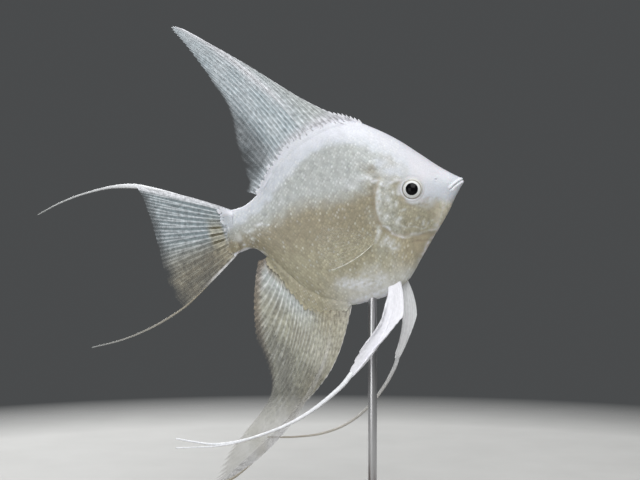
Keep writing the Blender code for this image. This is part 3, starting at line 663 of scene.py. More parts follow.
def markings(x, z):
    """The colour of the skin, of the scales and of the fins' roots at a place on the fish's side, painted
    light and shade included.
    """
    drawn_x, drawn_z = x + EDGE_WAVER * clouds(x, z, 4.5, 1), z + EDGE_WAVER * clouds(x, z, 4.5, 2)
    above_pale = -beside(drawn_x, drawn_z, PALE_EDGE)[0]
    above_grey = -beside(drawn_x, drawn_z, GREY_EDGE)[0]
    back, belly = back_line(np.clip(x, *SURE_REACH)), belly_line(np.clip(x, *SURE_REACH))
    # flank and belly
    low = 1 - ramp(drawn_z, belly + 1.0, belly + 14.0)
    colour = mix(np.tile(LOW_FLANK, (len(x), 1)), MID_FLANK, ramp(drawn_z, -18, -4))
    colour = mix(colour, BELLY, low * ramp(x, 22, 36))
    colour = mix(colour, THROAT, ramp(x, 49, 55) * ramp(z, -27, -20))
    colour = mix(colour, UPPER_FLANK, ramp(above_grey, -3.5, 5.0))
    # gill cover, cheek and chin
    cheek = mix(np.tile(CHEEK, (len(x), 1)), OPERCLE, (1 - ramp(x, 53.0, 57.5)) * 0.8)
    cheek = mix(cheek, CHIN, ramp(x - 0.3 * z, 67.0, 72.5))
    cheek = cheek * (1 + 0.07 * clouds(x, z, 1.7, 7) + 0.06 * clouds(x, z, 0.9, 8))[:, None]
    colour = mix(colour, cheek, ramp(ahead_of_gill(x, z), -0.6, 0.6))
    colour = colour * (1 + 0.05 * clouds(x, z, 3.2, 3) + 0.035 * clouds(2.4 * x, z, 2.6, 4))[:, None]
    # the white back, bluish along its lower edge and on the snout, and white along the top of the back
    # behind: partly the fish's own white and partly painted top light
    # painted shade in the dip over the gill cover, laid under the white
    colour = spotted(colour, drawn_x, drawn_z, BACK_SHADES)
    forward = ramp(x, 14, 38)
    edge_width = 1.2 + 2.4 * ramp(x, 59, 64)
    colour = mix(colour, BACK_BLUE, ramp(above_pale / edge_width, -1.0, 1.0))
    colour = mix(colour, SNOUT, ramp(above_pale, -2.6, 1.2) * ramp(x, 61, 66))
    snout_low = ramp(x, 62, 67) * (1 - ramp(drawn_z, 1.2, 4.4))
    white = BACK_WHITE * (1.04 - 0.16 * ramp(x, 40, 60))[:, None]
    colour = mix(colour, white, ramp(above_pale, 0.2, 4.0) * forward * (1 - 0.85 * snout_low))
    colour = mix(colour, BACK_WHITE, ramp(drawn_z, back - 2.6, back - 0.4) * (1 - forward) * 0.9)
    # strokes and spots, some of them painted shade in the head's grooves, folds and hollows, and the bright
    # rims of belly and tail stalk
    broken = 0.72 + 0.32 * clouds(x, z, 1.8, 5)
    for line, width, tone, strength in STROKES:
        away, share = beside(drawn_x, drawn_z, line, within=3 * width)
        colour = mix(colour, tone, bump(away, 0, width) * ends_fade(share, 0.25) * strength * broken)
    colour = spotted(colour, drawn_x, drawn_z, SPOTS)
    rim = np.maximum(ramp(x, 33.5, 35.5) * (1 - ramp(x, 47, 50)), 1 - ramp(x, 2.0, 5.0))
    return mix(colour, BACK_WHITE, 0.9 * rim * (1 - ramp(z - belly, 0.3, 1.1)))


# ---------------------------------------------------------------- the skin
SOCKET_DEPTH, SOCKET_EDGE = 2.4, (2.85, 3.25)
# Soft forms: place, how much they are squeezed along and up, size and height
SOFT_FORMS = [
    (59.0, -7.5, 1 / 1.3, 1.0, 2.6, 0.26),       # cheek
    (66.0, -3.4, 1.0, 1.6, 2.2, -0.18),          # hollow before the eye
    (47.4, -10.0, 1.8, 1 / 1.8, 3.2, 0.16),      # shoulder girdle
    (49.8, 9.6, 1 / 2.2, 1.0, 1.5, -0.20),       # dip over the gill cover
]


def gill_slit(x, z):
    """How far places are ahead of the gill cover's rear edge, and how open the slit behind it is."""
    ahead, share = beside(x, z, GILL_LINE, within=6)
    return ahead, ramp(-z, -9.0, -4.0) * ramp(1 - share, 0.03, 0.2)


def relief(x, z):
    """How far the skin stands out from the body's plain form, in millimetres."""
    gill, opened = gill_slit(x, z)
    height = 0.16 * ramp(gill, -0.4, 0.5) * (1 - ramp(gill, 0.8, 5.0)) * opened
    height -= 0.08 * bump(gill, -0.45, 0.40) * opened
    for line, width, tall in RIDGES:
        away, share = beside(x, z, line, within=3 * width)
        height += 0.4 * tall * bump(away, 0.0, 1.15 * width) * ends_fade(share, 0.3)
    # the eye's rim and socket
    off_eye = from_eye(x, z)
    height += 0.06 * bump(off_eye, 3.55, 0.30) - 0.05 * bump(off_eye, 4.2, 0.4)
    height -= SOCKET_DEPTH * (1 - ramp(off_eye, *SOCKET_EDGE))
    # nostril
    from_nostril = np.hypot(x - NOSTRIL[0], z - NOSTRIL[1])
    height += 0.05 * bump(from_nostril, 0.52, 0.2) - 0.22 * bump(from_nostril, 0.0, 0.24)
    # mouth and lips
    slit, share = beside(x, z, MOUTH_LINE, within=3)
    shut = 1 - ramp(share, 0.90, 1.0)
    height += 0.14 * bump(np.abs(slit), 0.62, 0.34) * shut - 0.28 * bump(slit, 0.0, 0.14) * shut
    for form_x, form_z, along_it, up_it, size, tall in SOFT_FORMS:
        height += tall * bump(np.hypot((x - form_x) * along_it, (z - form_z) * up_it), 0, size)
    return height


# The share of the full section in the rings that close the skin behind and at the lips
REAR_CAP = (0.0, 0.45, 0.8)
SNOUT_CAP = (1.0, 0.88, 0.66, 0.36, 0.0)
SNOUT_CAP_OUT = (0.0, 0.12, 0.22, 0.28, 0.30)


def skin():
    """One skin for head, jaws, gill covers, trunk and tail stalk: a sheet rolled up, closed and shaped."""
    rear, snout = BODY[0, 0], BODY[-1, 0]
    stations = np.concatenate([
        np.full(len(REAR_CAP), rear),
        np.arange(rear, HEAD_FROM, BODY_STEP),
        np.arange(HEAD_FROM, snout, HEAD_STEP),
        snout + np.array(SNOUT_CAP_OUT),
    ])
    closing = np.ones(len(stations))
    closing[:len(REAR_CAP)] = REAR_CAP
    closing[-len(SNOUT_CAP):] = SNOUT_CAP
    piece, ring, side = sheet_of("skin", len(stations) - 1, SKIN_SIDES)
    ring = np.rint(ring * (len(stations) - 1)).astype(int)
    turn = TAU * side + FLANK_CROWDING * np.sin(2 * TAU * side)
    x = np.clip(stations[ring], rear, snout)
    place = body_point(x, turn, SKIN_IN)
    middle = body_point(x, np.full(len(x), math.pi / 2), SKIN_IN)[:, 2]
    place[:, 0] = stations[ring]
    place[:, 1] *= closing[ring]
    place[:, 2] = middle + (place[:, 2] - middle) * closing[ring]
    move_points(piece, place)
    close_up(piece, merge=SEAM)
    place = points_of(piece)
    normal = np.empty(len(place) * 3)
    piece.data.vertices.foreach_get("normal", normal)
    place += normal.reshape(-1, 3) * relief(place[:, 0], place[:, 2])[:, None]
    colour = face_details(place, markings(place[:, 0], place[:, 2]))
    move_points(piece, place)
    paint(piece, colour)
    set_up(piece, POSE, flesh_finish("angelfish skin", 0.42, 0.30, 0.00008), 80, "skin", "head", "upper_jaw",
           "lower_jaw", "gill_cover_left", "gill_cover_right", "trunk", "tail_stalk")


def face_details(place, colour):
    """Small marks that sit in the relief: a pale eye rim and pale lips, and painted shade in and round the
    socket, in the nostril, the mouth's slit and at the gill cover's edge.
    """
    x, z = place[:, 0], place[:, 2]
    off_eye = from_eye(x, z)
    colour = mix(colour, PEARL, bump(off_eye, 3.5, 0.3) * 0.4)
    # painted shade inside the socket and in the groove round it
    colour = mix(colour, SOCKET_PAINTED_SHADE, (1 - ramp(off_eye, 3.0, 3.35)) * 0.8)
    colour = mix(colour, BEIGE_TONE_AND_SHADE, bump(off_eye, 3.9, 0.25) * 0.30)
    # painted shade in the nostril
    colour = mix(colour, DEEP_PAINTED_SHADE, bump(np.hypot(x - NOSTRIL[0], z - NOSTRIL[1]), 0, 0.3) * 0.25)
    slit, share = beside(x, z, MOUTH_LINE, within=3)
    shut = 1 - ramp(share, 0.85, 1.0)
    colour = mix(colour, WHITE, bump(np.abs(slit), 0.6, 0.5) * shut * 0.7)
    # painted shade in the mouth's slit
    colour = mix(colour, DEEP_PAINTED_SHADE, bump(slit, 0, 0.12) * shut * 0.35)
    # painted shade in the gill slit behind the cover's edge
    gill, opened = gill_slit(x, z)
    return mix(colour, BEIGE_TONE_AND_SHADE, bump(gill, -0.45, 0.3) * opened * 0.35)


# ---------------------------------------------------------------- the scales
# A coat of scales: the steps along the fish and round it, one scale's length and width, how far its free edge
# stands up, and the share of pearly scales
Coat = namedtuple("Coat", "step row length width rise pearls")
FLANK = Coat(step=0.70, row=1.52, length=2.0, width=1.74, rise=0.13, pearls=0.11)
FACE = Coat(step=0.60, row=1.28, length=1.6, width=1.42, rise=0.05, pearls=0.03)
SHEATH = Coat(step=0.50, row=0.85, length=1.35, width=0.95, rise=0.04, pearls=0.04)
SCALE_SEGMENTS, SCALE_RINGS = 10, 5
SCALE_SUNK, SCALE_HALF_THICK = 0.03, 0.035
ROOTED_SHARE = 0.3           # the share of a scale that lies ahead of its root
# Where pearly scales are common: place, size along and up, and how much more often they come there
PEARL_PLACES = [(42, 6, 5, 2.5, 0.45), (46, 0, 3, 5, 0.2), (20, -26, 7, 4, 0.35), (25, -16, 6, 5, 0.15),
                (40, -22, 8, 4, 0.25), (6, -5, 6, 3, 0.35), (36, -6, 8, 5, 0.15), (52, -18, 4, 5, 0.3)]
# The scales' own map: how much of the fish it spans, its margin, and one scale's size on it
MAP_LENGTH, MAP_MARGIN, MAP_ROUND = 100.0, 0.05, 1.1 * TAU
SCALE_ON_MAP = (0.003, 0.0015)
RING_POINTS = 500            # points round half the body, between which rows of scales are measured out
EDGE_GAP = 0.25              # no scale is rooted nearer to the middle of the back or the belly than this


def scale_places(coat, side, x_from, x_to, wanted):
    """Roots of staggered scales over one side of the body, as x and turn, where wanted says so."""
    places = []
    for i, x in enumerate(np.arange(x_from, x_to, coat.step)):
        turn = np.linspace(0.02, math.pi - 0.02, RING_POINTS)
        ring = body_point(np.full(RING_POINTS, x), turn)
        walked = np.concatenate([[0], np.cumsum(np.linalg.norm(np.diff(ring, axis=0), axis=1))])
        middle = walked[RING_POINTS // 2]
        low = -math.floor(middle / coat.row)
        high = math.floor((walked[-1] - middle) / coat.row) + 1
        arcs = middle + (np.arange(low, high) + 0.5 * (i % 2)) * coat.row
        arcs = arcs[(arcs > EDGE_GAP) & (arcs < walked[-1] - EDGE_GAP)]
        places += [(x, side * t) for t in np.interp(arcs, walked, turn)]
    places = np.array(places)
    z = body_point(places[:, 0], places[:, 1])[:, 2]
    return places[wanted(places[:, 0], z)]


def lay_scales(name, roots, coat, seed, ground, finish):
    """A joined mesh of overlapping scales. Each root is (x, turn, z), and ground gives the surface below.

    ground takes each point's root number and how far it is back from that root and aside of it.
    """
    chance = np.random.default_rng(seed)
    count = len(roots)
    piece = added(name, bpy.ops.mesh.primitive_uv_sphere_add, segments=SCALE_SEGMENTS,
                  ring_count=SCALE_RINGS, radius=1)
    one = points_of(piece)
    modified(piece, "ARRAY", count=count, use_relative_offset=False, use_constant_offset=True,
             constant_offset_displace=(0, 0, 3))
    # share: 0 at a scale's root and 1 at its free edge; across: -1 to 1; lift: -1 to 1 through its thickness
    shield = 1 - 0.25 * np.clip(-one[:, 0], 0, 1) ** 2
    share, across, lift = (one[:, 0] + 1) / 2, one[:, 1] * shield, one[:, 2]
    share, across, lift = (np.tile(part, count) for part in (share, across, lift))
    root = np.repeat(np.arange(count), len(one))
    size, tilt = chance.uniform(0.90, 1.08, count)[root], chance.normal(0, 0.07, count)[root]
    back = coat.length * size * share
    aside = coat.width / 2 * size * across + tilt * back
    base, normal = ground(root, back - ROOTED_SHARE * coat.length, aside)
    dome = 1 - across**2
    height = coat.rise * (0.25 + 0.75 * share) * (0.55 + 0.45 * dome) + SCALE_HALF_THICK * lift - SCALE_SUNK
    place = base + normal * height[:, None]
    move_points(piece, place)
    ground_colour = markings(place[:, 0], place[:, 2])
    paint(piece, scale_colours(ground_colour, roots, root, share, across, lift, coat, chance))
    map_u = (roots[root, 0] - BODY[0, 0]) / MAP_LENGTH + MAP_MARGIN + SCALE_ON_MAP[0] * (0.5 - share)
    map_v = roots[root, 1] / MAP_ROUND + 0.5 + SCALE_ON_MAP[1] * across
    lay_map(piece, "OFBake", map_u, map_v)
    set_up(piece, POSE, finish, 50, "skin")


def scale_colours(colour, roots, root, share, across, lift, coat, chance):
    """Each scale is a little lighter or darker than its ground, and darker towards its root as painted shade
    under the scale ahead; some have a pearly spot or a painted highlight on the free edge.
    """
    count = len(roots)
    often = np.full(count, coat.pearls)
    for x, z, wide, tall, more in PEARL_PLACES:
        often += more * bump(roots[:, 0], x, wide) * bump(roots[:, 2], z, tall)
    pearly = chance.random(count) < often
    bright = chance.normal(1.0, 0.05, count)
    # random tone, with painted shade darkening each scale towards its root, under the scale ahead
    uneven_and_root_shade = (bright[root] * (0.94 + 0.08 * share) - 1) * (1 - 0.75 * ramp(colour[:, 0], 0.45, 0.62))
    colour = colour * (1 + uneven_and_root_shade)[:, None]
    middle, height = chance.uniform(0.72, 0.88, count)[root], chance.uniform(-0.2, 0.2, count)[root]
    spot = bump(share, middle, 0.13) * bump(across, height, 0.65) * (lift > 0)
    colour = mix(colour, PEARL, spot * np.where(pearly, chance.uniform(0.07, 0.42, count), 0.0)[root])
    # a painted highlight on the free edge of some scales
    edge = bump(share, 0.80, 0.14) * bump(across, 0, 0.75) * (lift > 0)
    painted_glint = np.maximum(np.minimum(colour * 1.45, 0.70), colour)
    return mix(colour, painted_glint, edge * chance.uniform(-0.4, 1.0, count).clip(0)[root])


def body_scales(name, places, coat, seed, finish):
    """Scales lying on the skin."""
    rooted = body_point(places[:, 0], places[:, 1])
    small = 0.002
    apart = body_point(places[:, 0], places[:, 1] + small) - body_point(places[:, 0], places[:, 1] - small)
    spread = np.maximum(np.linalg.norm(apart, axis=1) / (2 * small), 0.5)

    def ground(root, back, aside):
        x, turn = places[root, 0] - back, places[root, 1] + aside / spread[root]
        base, normal = body_point(x, turn, SKIN_IN), body_normal(x, turn)
        return base + normal * relief(x, base[:, 2])[:, None], normal

    lay_scales(name, np.column_stack([places, rooted[:, 2]]), coat, seed, ground, finish)


SHEATH_REACH = 13.0          # no fin has scales further out along its rays than this
SHEATH_WILD = (-1.2, 0.8)    # how unevenly the scales on a fin end
FIN_HALF, FILLET = 0.66, 0.9  # half the thickness of a scaled fin root, and how much more it has at the body
BLEND = 7                    # the sharpness of the hollow between body and fin


def sheath_scales(name, fan, beyond, reach_out, coat, seed, finish):
    """Small scales that run on from the body over both sides of a fin's base, and taper into it.

    beyond says how far places are out of the body. reach_out is how far the scales go out, along the fin.
    """
    u = np.linspace(0.004, 0.996, 600)
    length = fan.length(u)
    foot = fan.point(u, np.minimum(2.0 / length, 1))
    walked = np.concatenate([[0], np.cumsum(np.linalg.norm(np.diff(foot, axis=0), axis=1))])
    lanes = np.interp(np.arange(0.3, walked[-1], coat.row / 2), walked, u)
    spread = np.maximum(np.interp(lanes, u, np.gradient(walked, u)), 8.0)
    outs = np.arange(0.1, SHEATH_REACH, 2 * coat.step)
    lane = np.repeat(np.arange(len(lanes)), len(outs))
    out = np.tile(outs, len(lanes)) + coat.step * (lane % 2)
    place = fan.point(lanes[lane], np.minimum(out / fan.length(lanes[lane]), 1))
    wild = np.random.default_rng(seed).uniform(*SHEATH_WILD, len(lane))
    kept = (beyond(place) > -2.2) & (beyond(place) < evenly(reach_out, lanes[lane]) + wild)
    kept &= out < 0.8 * fan.length(lanes[lane])
    lane, out, place = lane[kept], out[kept], place[kept]
    lane, out, place = np.tile(lane, 2), np.tile(out, 2), np.tile(place, (2, 1))
    sides = np.repeat([1, -1], kept.sum())
    x = np.clip(place[:, 0], *SURE_REACH)
    z = np.clip(place[:, 2], belly_line(x) + 0.6, back_line(x) - 0.6)
    turn = sides * np.where(z > (belly_line(x) + back_line(x)) / 2, 0.1, 3.0)

    def ground(root, back, aside):
        across = np.clip(lanes[lane[root]] + aside / spread[lane[root]], 0, 1)
        at = fan.point(across, np.clip((out[root] + back) / fan.length(across), 0, 1))
        away = beyond(at)
        ends = 0.3 + 0.7 * ramp(across, 0.0, 0.12) * (1 - ramp(across, 0.9, 1.0))
        far = evenly(reach_out, across) + 0.6
        fillet = FIN_HALF + FILLET * (1 - ramp((away + 1.2) / (far + 1.2), 0, 1)) * ends
        body = np.maximum(body_half(np.maximum(at[:, 0], -1.0), at[:, 2]) - 0.35, 0)
        body = body * (1 - 0.9 * ramp(away, -0.6, 3.5))
        at[:, 1] += sides[root] * (body**BLEND + fillet**BLEND) ** (1 / BLEND)
        return at, np.column_stack([0 * across, sides[root], 0 * across])

    lay_scales(name, np.column_stack([x, turn, z]), coat, seed, ground, finish)


def out_of_stalk(place):
    """How far points of the tail fin are behind the tail stalk."""
    return -1.6 - place[:, 0]


NAPE_FROM = 8.0


def on_trunk(x, z):
    return (ahead_of_gill(x, z) < -1.0) & (x > -1.5)


def on_cover_or_cheek(x, z):
    cheek = (x < 66 - 0.3 * (z + 12)) & (z < NAPE_FROM) & (z > -12.5)
    return cheek & (ahead_of_gill(x, z) > 1.3) & (from_eye(x, z) > 5.2)


def on_nape(x, z):
    return (ahead_of_gill(x, z) > -1.0) & (from_eye(x, z) > 5.6) & (z >= NAPE_FROM) & (x < 62)


def scales():
    finish = flesh_finish("pearly scales", 0.40, 0.2, 0.00002)
    for side, word in ((1, "left"), (-1, "right")):
        flank = scale_places(FLANK, side, -1.2, 58, on_trunk)
        body_scales(f"flank_scales_{word}", flank, FLANK, 11 + side, finish)
        head = np.concatenate([scale_places(FACE, side, 47, 70, on_cover_or_cheek),
                               scale_places(FACE, side, 50, 64, on_nape)])
        body_scales(f"head_scales_{word}", head, FACE, 21 + side, finish)
    sheath_scales("dorsal_sheath_scales", DORSAL, out_of_body, (-0.4, 0.0, 0.4, 0.7, 0.8, 0.6, 0.2),
                  SHEATH, 31, finish)
    sheath_scales("anal_sheath_scales", ANAL, out_of_body, (0.0, 1.5, 4.0, 5.5, 5.0, 2.6, 0.5),
                  FACE, 32, finish)
    sheath_scales("tail_sheath_scales", Fan(TAIL), out_of_stalk, (2.6, 2.0, 1.5, 1.3, 1.3, 1.3, 1.0),
                  SHEATH, 33, finish)


# ---------------------------------------------------------------- the fins
WEB_BLUE, WEB_PALE_BLUE = srgb(158, 171, 177), srgb(176, 185, 190)
WEB_BEIGE, WEB_PALE_BEIGE = srgb(165, 163, 149), srgb(178, 178, 162)
WEB_WHITISH = srgb(194, 202, 201)
TAIL_WEB, TAIL_WEB_LOW = srgb(142, 156, 161), srgb(158, 150, 130)
RAY_WHITE, RAY_BEIGE, RAY_LOW = srgb(216, 222, 227), srgb(212, 213, 206), srgb(190, 188, 172)
DORSAL_FRONT, ANAL_RIM, TAIL_ROOT_LOW = srgb(192, 194, 190), srgb(136, 116, 92), srgb(190, 188, 176)
SLOT_DARK, SLOT_CREAM = srgb(84, 78, 52), srgb(196, 190, 166)
PECTORAL_WEB, PECTORAL_RAY = srgb(180, 178, 162), srgb(222, 222, 214)

# What a fin's colours are made from, at each point of its sheet: the share u across the rays and v out along
# them, the ray's number t, how much the point is on a ray, its place, how far it is out of the body, the
# rays' own lights, soft patches, and how far it is from the fin's edge
Leaf = namedtuple("Leaf", "u v t ridge place out light patches from_tip")


def ridges(t, v, fork, wide=0.17, narrow=0.11):
    """1 on the rays of a fin and 0 on its web. Each ray forks at the share fork of its length."""
    off = np.abs(t - np.rint(t))
    if fork < 1:
        off = np.abs(off - 0.25 * ramp(v, fork, 1.0))
    return np.exp(-(off / (wide + (narrow - wide) * v)) ** 2)


def spread_out(name, fan, dress, nodes, finish, rows, notch, seed, per_ray=8, fork=0.45, jag=0.006,
               thick=(1.5, 0.5), web=(1.1, 0.16)):
    """A fin as one closed sheet, thick on its forked rays and thin on the web between them.

    thick and web are the wall on the rays and on the web, first at the fin's base and then further out. notch
    and jag say how far the web and the rays' tips draw back from the fin's edge, as shares of its length.
    """
    piece, u, v = sheet_of(name, (fan.rays - 1) * per_ray, rows)
    t = u * (fan.rays - 1)
    chance = np.random.default_rng(seed)
    ray = np.rint(t).astype(int)
    ridge = ridges(t, v, fork)
    if fan.spines:
        unforked_front = np.where(t > fan.spines, ridge, ridges(t, v, 1.0))
        ridge = np.maximum(unforked_front, bump(t, fan.spines - 0.5, 0.5))
    length = fan.length(u)
    short = (1 - ramp(length, 5.0, 15.0)) * (t < fan.spines)
    cut = (notch + 0.25 * short) * (1 - ridges(t, np.ones_like(v), fork, 0.25, 0.2))
    place = fan.point(u, v * (1 - cut - chance.uniform(0, jag, fan.rays)[ray]))
    start, pitch = chance.uniform(0, TAU, fan.rays)[ray], chance.uniform(0.9, 2.2, fan.rays)[ray]
    light = 0.5 + 0.5 * np.sin(v * length / pitch + start) * np.sin(v * length / (2.7 * pitch) + 2 * start)
    patches = clouds(place[:, 0], place[:, 2], 8.0, seed)
    leaf = Leaf(u, v, t, ridge, place, out_of_body(place), light, patches, (1 - v) * length)
    colour, alpha = dress(leaf)
    move_points(piece, place)
    paint(piece, colour, alpha)
    lay_map(piece, "rays", t, v * length)
    base = 1 - ramp(v, 0.0, 0.30)
    on_ray = (thick[1] + (thick[0] - thick[1]) * base) * (1 - 0.45 * v)
    on_web = web[1] + (web[0] - web[1]) * base
    wall = on_web + (on_ray - on_web) * ridge
    group = piece.vertex_groups.new(name="thickness")
    for index, weight in enumerate((wall / thick[0]).tolist()):
        group.add([index], weight, "REPLACE")
    modified(piece, "SOLIDIFY", thickness=thick[0], offset=0, vertex_group="thickness")
    close_up(piece)
    set_up(piece, POSE, finish, 60, "fin", *nodes)


def plain(colour, s):
    return np.tile(colour, (len(s.u), 1))


def dorsal_dress(s):
    """Bluish and hatched with bright rays, solid along its front and nearly clear low down behind."""
    rear = ramp(s.u, 0.50, 0.92)
    web = mix(plain(WEB_BLUE, s), WEB_PALE_BLUE, 0.4 + 0.4 * s.patches)
    colour = mix(web, RAY_WHITE, s.ridge * (0.35 + 0.65 * s.light))
    colour = mix(colour, DORSAL_FRONT, (1 - ramp(s.u, 0.20, 0.46)) * 0.6)
    skin_like = markings(s.place[:, 0], np.minimum(s.place[:, 2], back_line(s.place[:, 0]) - 0.5))
    colour = mix(colour, skin_like * 0.9, (1 - ramp(s.out, 0.5, 6.0)) * (1 - 0.7 * rear))
    edge = bump(s.t, 12.7, 1.5) * ramp(s.v, 0.15, 0.5) + (s.t < 13.5) * (1 - ramp(s.from_tip, 0.5, 2.2))
    colour = mix(colour, WHITE, 0.9 * np.clip(edge, 0, 1))
    strokes = (1 - ramp(s.out, 1.4, 3.4)) * s.ridge * rear
    colour = mix(colour, RAY_WHITE, 0.8 * strokes)
    solid = 0.95 - 0.15 * rear - 0.66 * ramp(s.u, 0.60, 0.78) * ramp(s.out, 2.0, 6.0)
    solid = solid - 0.45 * (1 - ramp(s.from_tip, 0.5, 7.0)) * ramp(s.u, 0.45, 0.60)
    solid = solid * (1 - (1 - s.ridge) * (0.06 + 0.24 * rear)) + 0.05 * s.patches * rear
    return colour, np.maximum(solid, np.maximum(1 - ramp(s.out, 0.2, 1.6), 0.9 * strokes))


def anal_dress(s):
    """Beige and hatched, bluish white next to the body behind, with a clear rear edge."""
    web = mix(plain(WEB_BEIGE, s), WEB_PALE_BEIGE, 0.5 + 0.4 * s.patches)
    colour = mix(web, RAY_BEIGE, s.ridge * (0.30 + 0.70 * s.light))
    rear_base = ramp(s.u, 0.30, 0.65) * (1 - ramp(s.out, 5.0, 20.0))
    front_band = bump(s.u, 0.22, 0.14) * ramp(s.out, 9, 15) * (1 - ramp(s.out, 26, 36))
    whitish = mix(plain(WEB_WHITISH, s), WHITE, s.ridge * (0.4 + 0.6 * s.light))
    colour = mix(colour, whitish, np.maximum(rear_base, 0.55 * front_band))
    skin_like = markings(s.place[:, 0], np.maximum(s.place[:, 2], belly_line(s.place[:, 0]) + 0.5))
    colour = mix(colour, skin_like, 1 - ramp(s.out, 2.0, 9.0) * (0.4 + 0.6 * ramp(s.u, 0.2, 0.5)))
    edge = bump(s.t, 6.8, 0.9) * ramp(s.v, 0.2, 0.7) + (s.t < 7.5) * (1 - ramp(s.from_tip, 0.3, 1.4))
    colour = mix(colour, WHITE, 0.5 * np.clip(edge, 0, 1))
    rim = (1 - ramp(s.from_tip, 0.5, 5.0)) * ramp(s.u, 0.28, 0.42)
    colour = mix(colour, ANAL_RIM, rim * 0.7) * (1 - 0.12 * ramp(s.out, 20, 34))[:, None]
    solid = 0.95 - 0.15 * ramp(s.u, 0.5, 0.9) * ramp(s.out, 8, 20) - 0.45 * rim
    solid = solid - 0.46 * ramp(s.out, 22, 34) - 0.20 * ramp(s.out, 34, 50)
    solid = solid * (1 - (1 - s.ridge) * (0.08 + 0.25 * ramp(s.u, 0.4, 0.9))) + 0.05 * s.patches
    return colour, np.maximum(solid, 1 - ramp(s.out, 0.2, 1.6))


def tail_dress(s):
    """Bright bluish rays above, fainter beige ones below, dark slots near the root and a soft rear edge."""
    low = ramp(s.u, 0.45, 0.80)
    colour = mix(plain(TAIL_WEB, s), RAY_WHITE, s.ridge * (0.68 + 0.32 * s.light))
    beige = mix(plain(TAIL_WEB_LOW, s), RAY_LOW, s.ridge * (0.3 + 0.7 * s.light))
    colour = mix(colour, beige, low)
    top = 1 - ramp(s.u, 0.02, 0.09)
    colour = mix(colour, WHITE, 0.9 * top)
    under = ramp(s.u, 0.955, 0.985) * (1 - ramp(s.v, 0.35, 0.8))
    colour = mix(colour, WHITE, 0.7 * under)
    base = 1 - ramp(s.v + 0.05 * s.light, 0.08, 0.24)
    colour = mix(colour, mix(plain(BACK_BLUE, s), TAIL_ROOT_LOW, low), base * (0.55 + 0.45 * s.ridge))
    colour = colour * (1 - 0.12 * ramp(s.v, 0.1, 0.3) * (1 - top))[:, None]
    slot_band = 1.8 * ramp(s.v, 0.12, 0.17) * (1 - ramp(s.v, 0.24, 0.36)) * bump(s.u, 0.52, 0.20)
    slot_band = np.minimum(slot_band, 1)
    every_second = np.floor(s.t) % 2 == 0
    slots = 0.95 * slot_band * every_second * (1 - s.ridge)
    colour = mix(mix(colour, SLOT_CREAM, 0.6 * slot_band), SLOT_DARK, slots)
    fading = (1 - ramp(s.from_tip, 0.0, 5.0)) * (1 - top)
    solid = 0.88 - 0.60 * low * ramp(s.v, 0.1, 0.4) - fading * (0.75 - 0.50 * low)
    solid = solid * (1 - (1 - s.ridge) * (0.30 - 0.15 * low)) + 0.05 * s.patches
    solid = np.maximum(solid, np.maximum(0.97 * top, 0.9 * under))
    return colour, np.maximum(solid, np.maximum(1 - ramp(s.v, 0.05, 0.20), 0.8 * slots))


def pelvic_dress(bright, streaks):
    """Smooth and solid, in one bright tone with faint streaks, and a little clear at the rear tip."""
    def dress(s):
        colour = mix(plain(bright * (1 - streaks), s), bright, 0.25 + 0.75 * s.ridge * (0.5 + 0.5 * s.light))
        return colour, 1 - 0.45 * ramp(s.u, 0.6, 1.0) * ramp(s.v, 0.5, 1.0) * (1 - s.ridge)
    return dress


def pectoral_dress(s):
    """Nearly clear, with faint rays and a bright lower edge."""
    lower = ramp(s.u, 0.95, 0.985) * (1 - 0.4 * s.v)
    root = 1 - ramp(s.v, 0, 0.10)
    solid = 0.03 + 0.13 * s.ridge * s.light * (1 - 0.5 * s.v) + 0.62 * lower + 0.5 * root * (1 - lower)
    return mix(plain(PECTORAL_WEB, s), PECTORAL_RAY, s.ridge), solid


def fins():
    finish = fin_finish("fin rays and web", 0.62, 0.45, 1.0)
    smooth_finish = fin_finish("smooth fin blades", 0.62, 0.5, 0.2)
    tall = dict(rows=72, notch=0.035, jag=0.012)
    spread_out("dorsal_fin_rays", DORSAL, dorsal_dress, ["dorsal_fin_spines", "dorsal_fin_sail"], finish,
               seed=3, **tall)
    spread_out("anal_fin_rays", ANAL, anal_dress, ["anal_fin_spines", "anal_fin_sail"], finish,
               seed=4, **tall)
    spread_out("tail_fin_rays", Fan(TAIL), tail_dress, ["tail_fin"], finish, per_ray=12, rows=56, fork=0.25,
               notch=0.008, jag=0.008, seed=5)
    blade = dict(rows=48, fork=0.6, notch=0.04, jag=0.03, thick=(1.3, 0.8), web=(1.15, 0.55))
    spread_out("pelvic_fin_blade_right", Fan(PELVIC_RIGHT), pelvic_dress(srgb(233, 233, 239), 0.05),
               ["pelvic_fin_right"], smooth_finish, per_ray=6, seed=6, **blade)
    # the far, left blade is painted paler than the right: its own white plus painted light against the shade
    # it lies in
    spread_out("pelvic_fin_blade_left", Fan(PELVIC_LEFT), pelvic_dress(srgb(246, 248, 250), 0.16),
               ["pelvic_fin_left"], smooth_finish, per_ray=7, seed=7, **blade)
    for fin, word in ((PECTORAL_LEFT, "left"), (mirrored(PECTORAL_LEFT), "right")):
        spread_out(f"pectoral_fin_rays_{word}", Fan(fin), pectoral_dress, [f"pectoral_fin_{word}"], finish,
                   per_ray=9, rows=36, fork=0.4, notch=0.03, seed=8, thick=(0.8, 0.34), web=(0.5, 0.1))


THREAD_SIDES = 12
THREAD_FLATNESS = 0.72
JOINT_SWELL, JOINT_RATE = 0.05, 260
THREAD_MAP = 60              # a thread is jointed like a fin's ray of this length


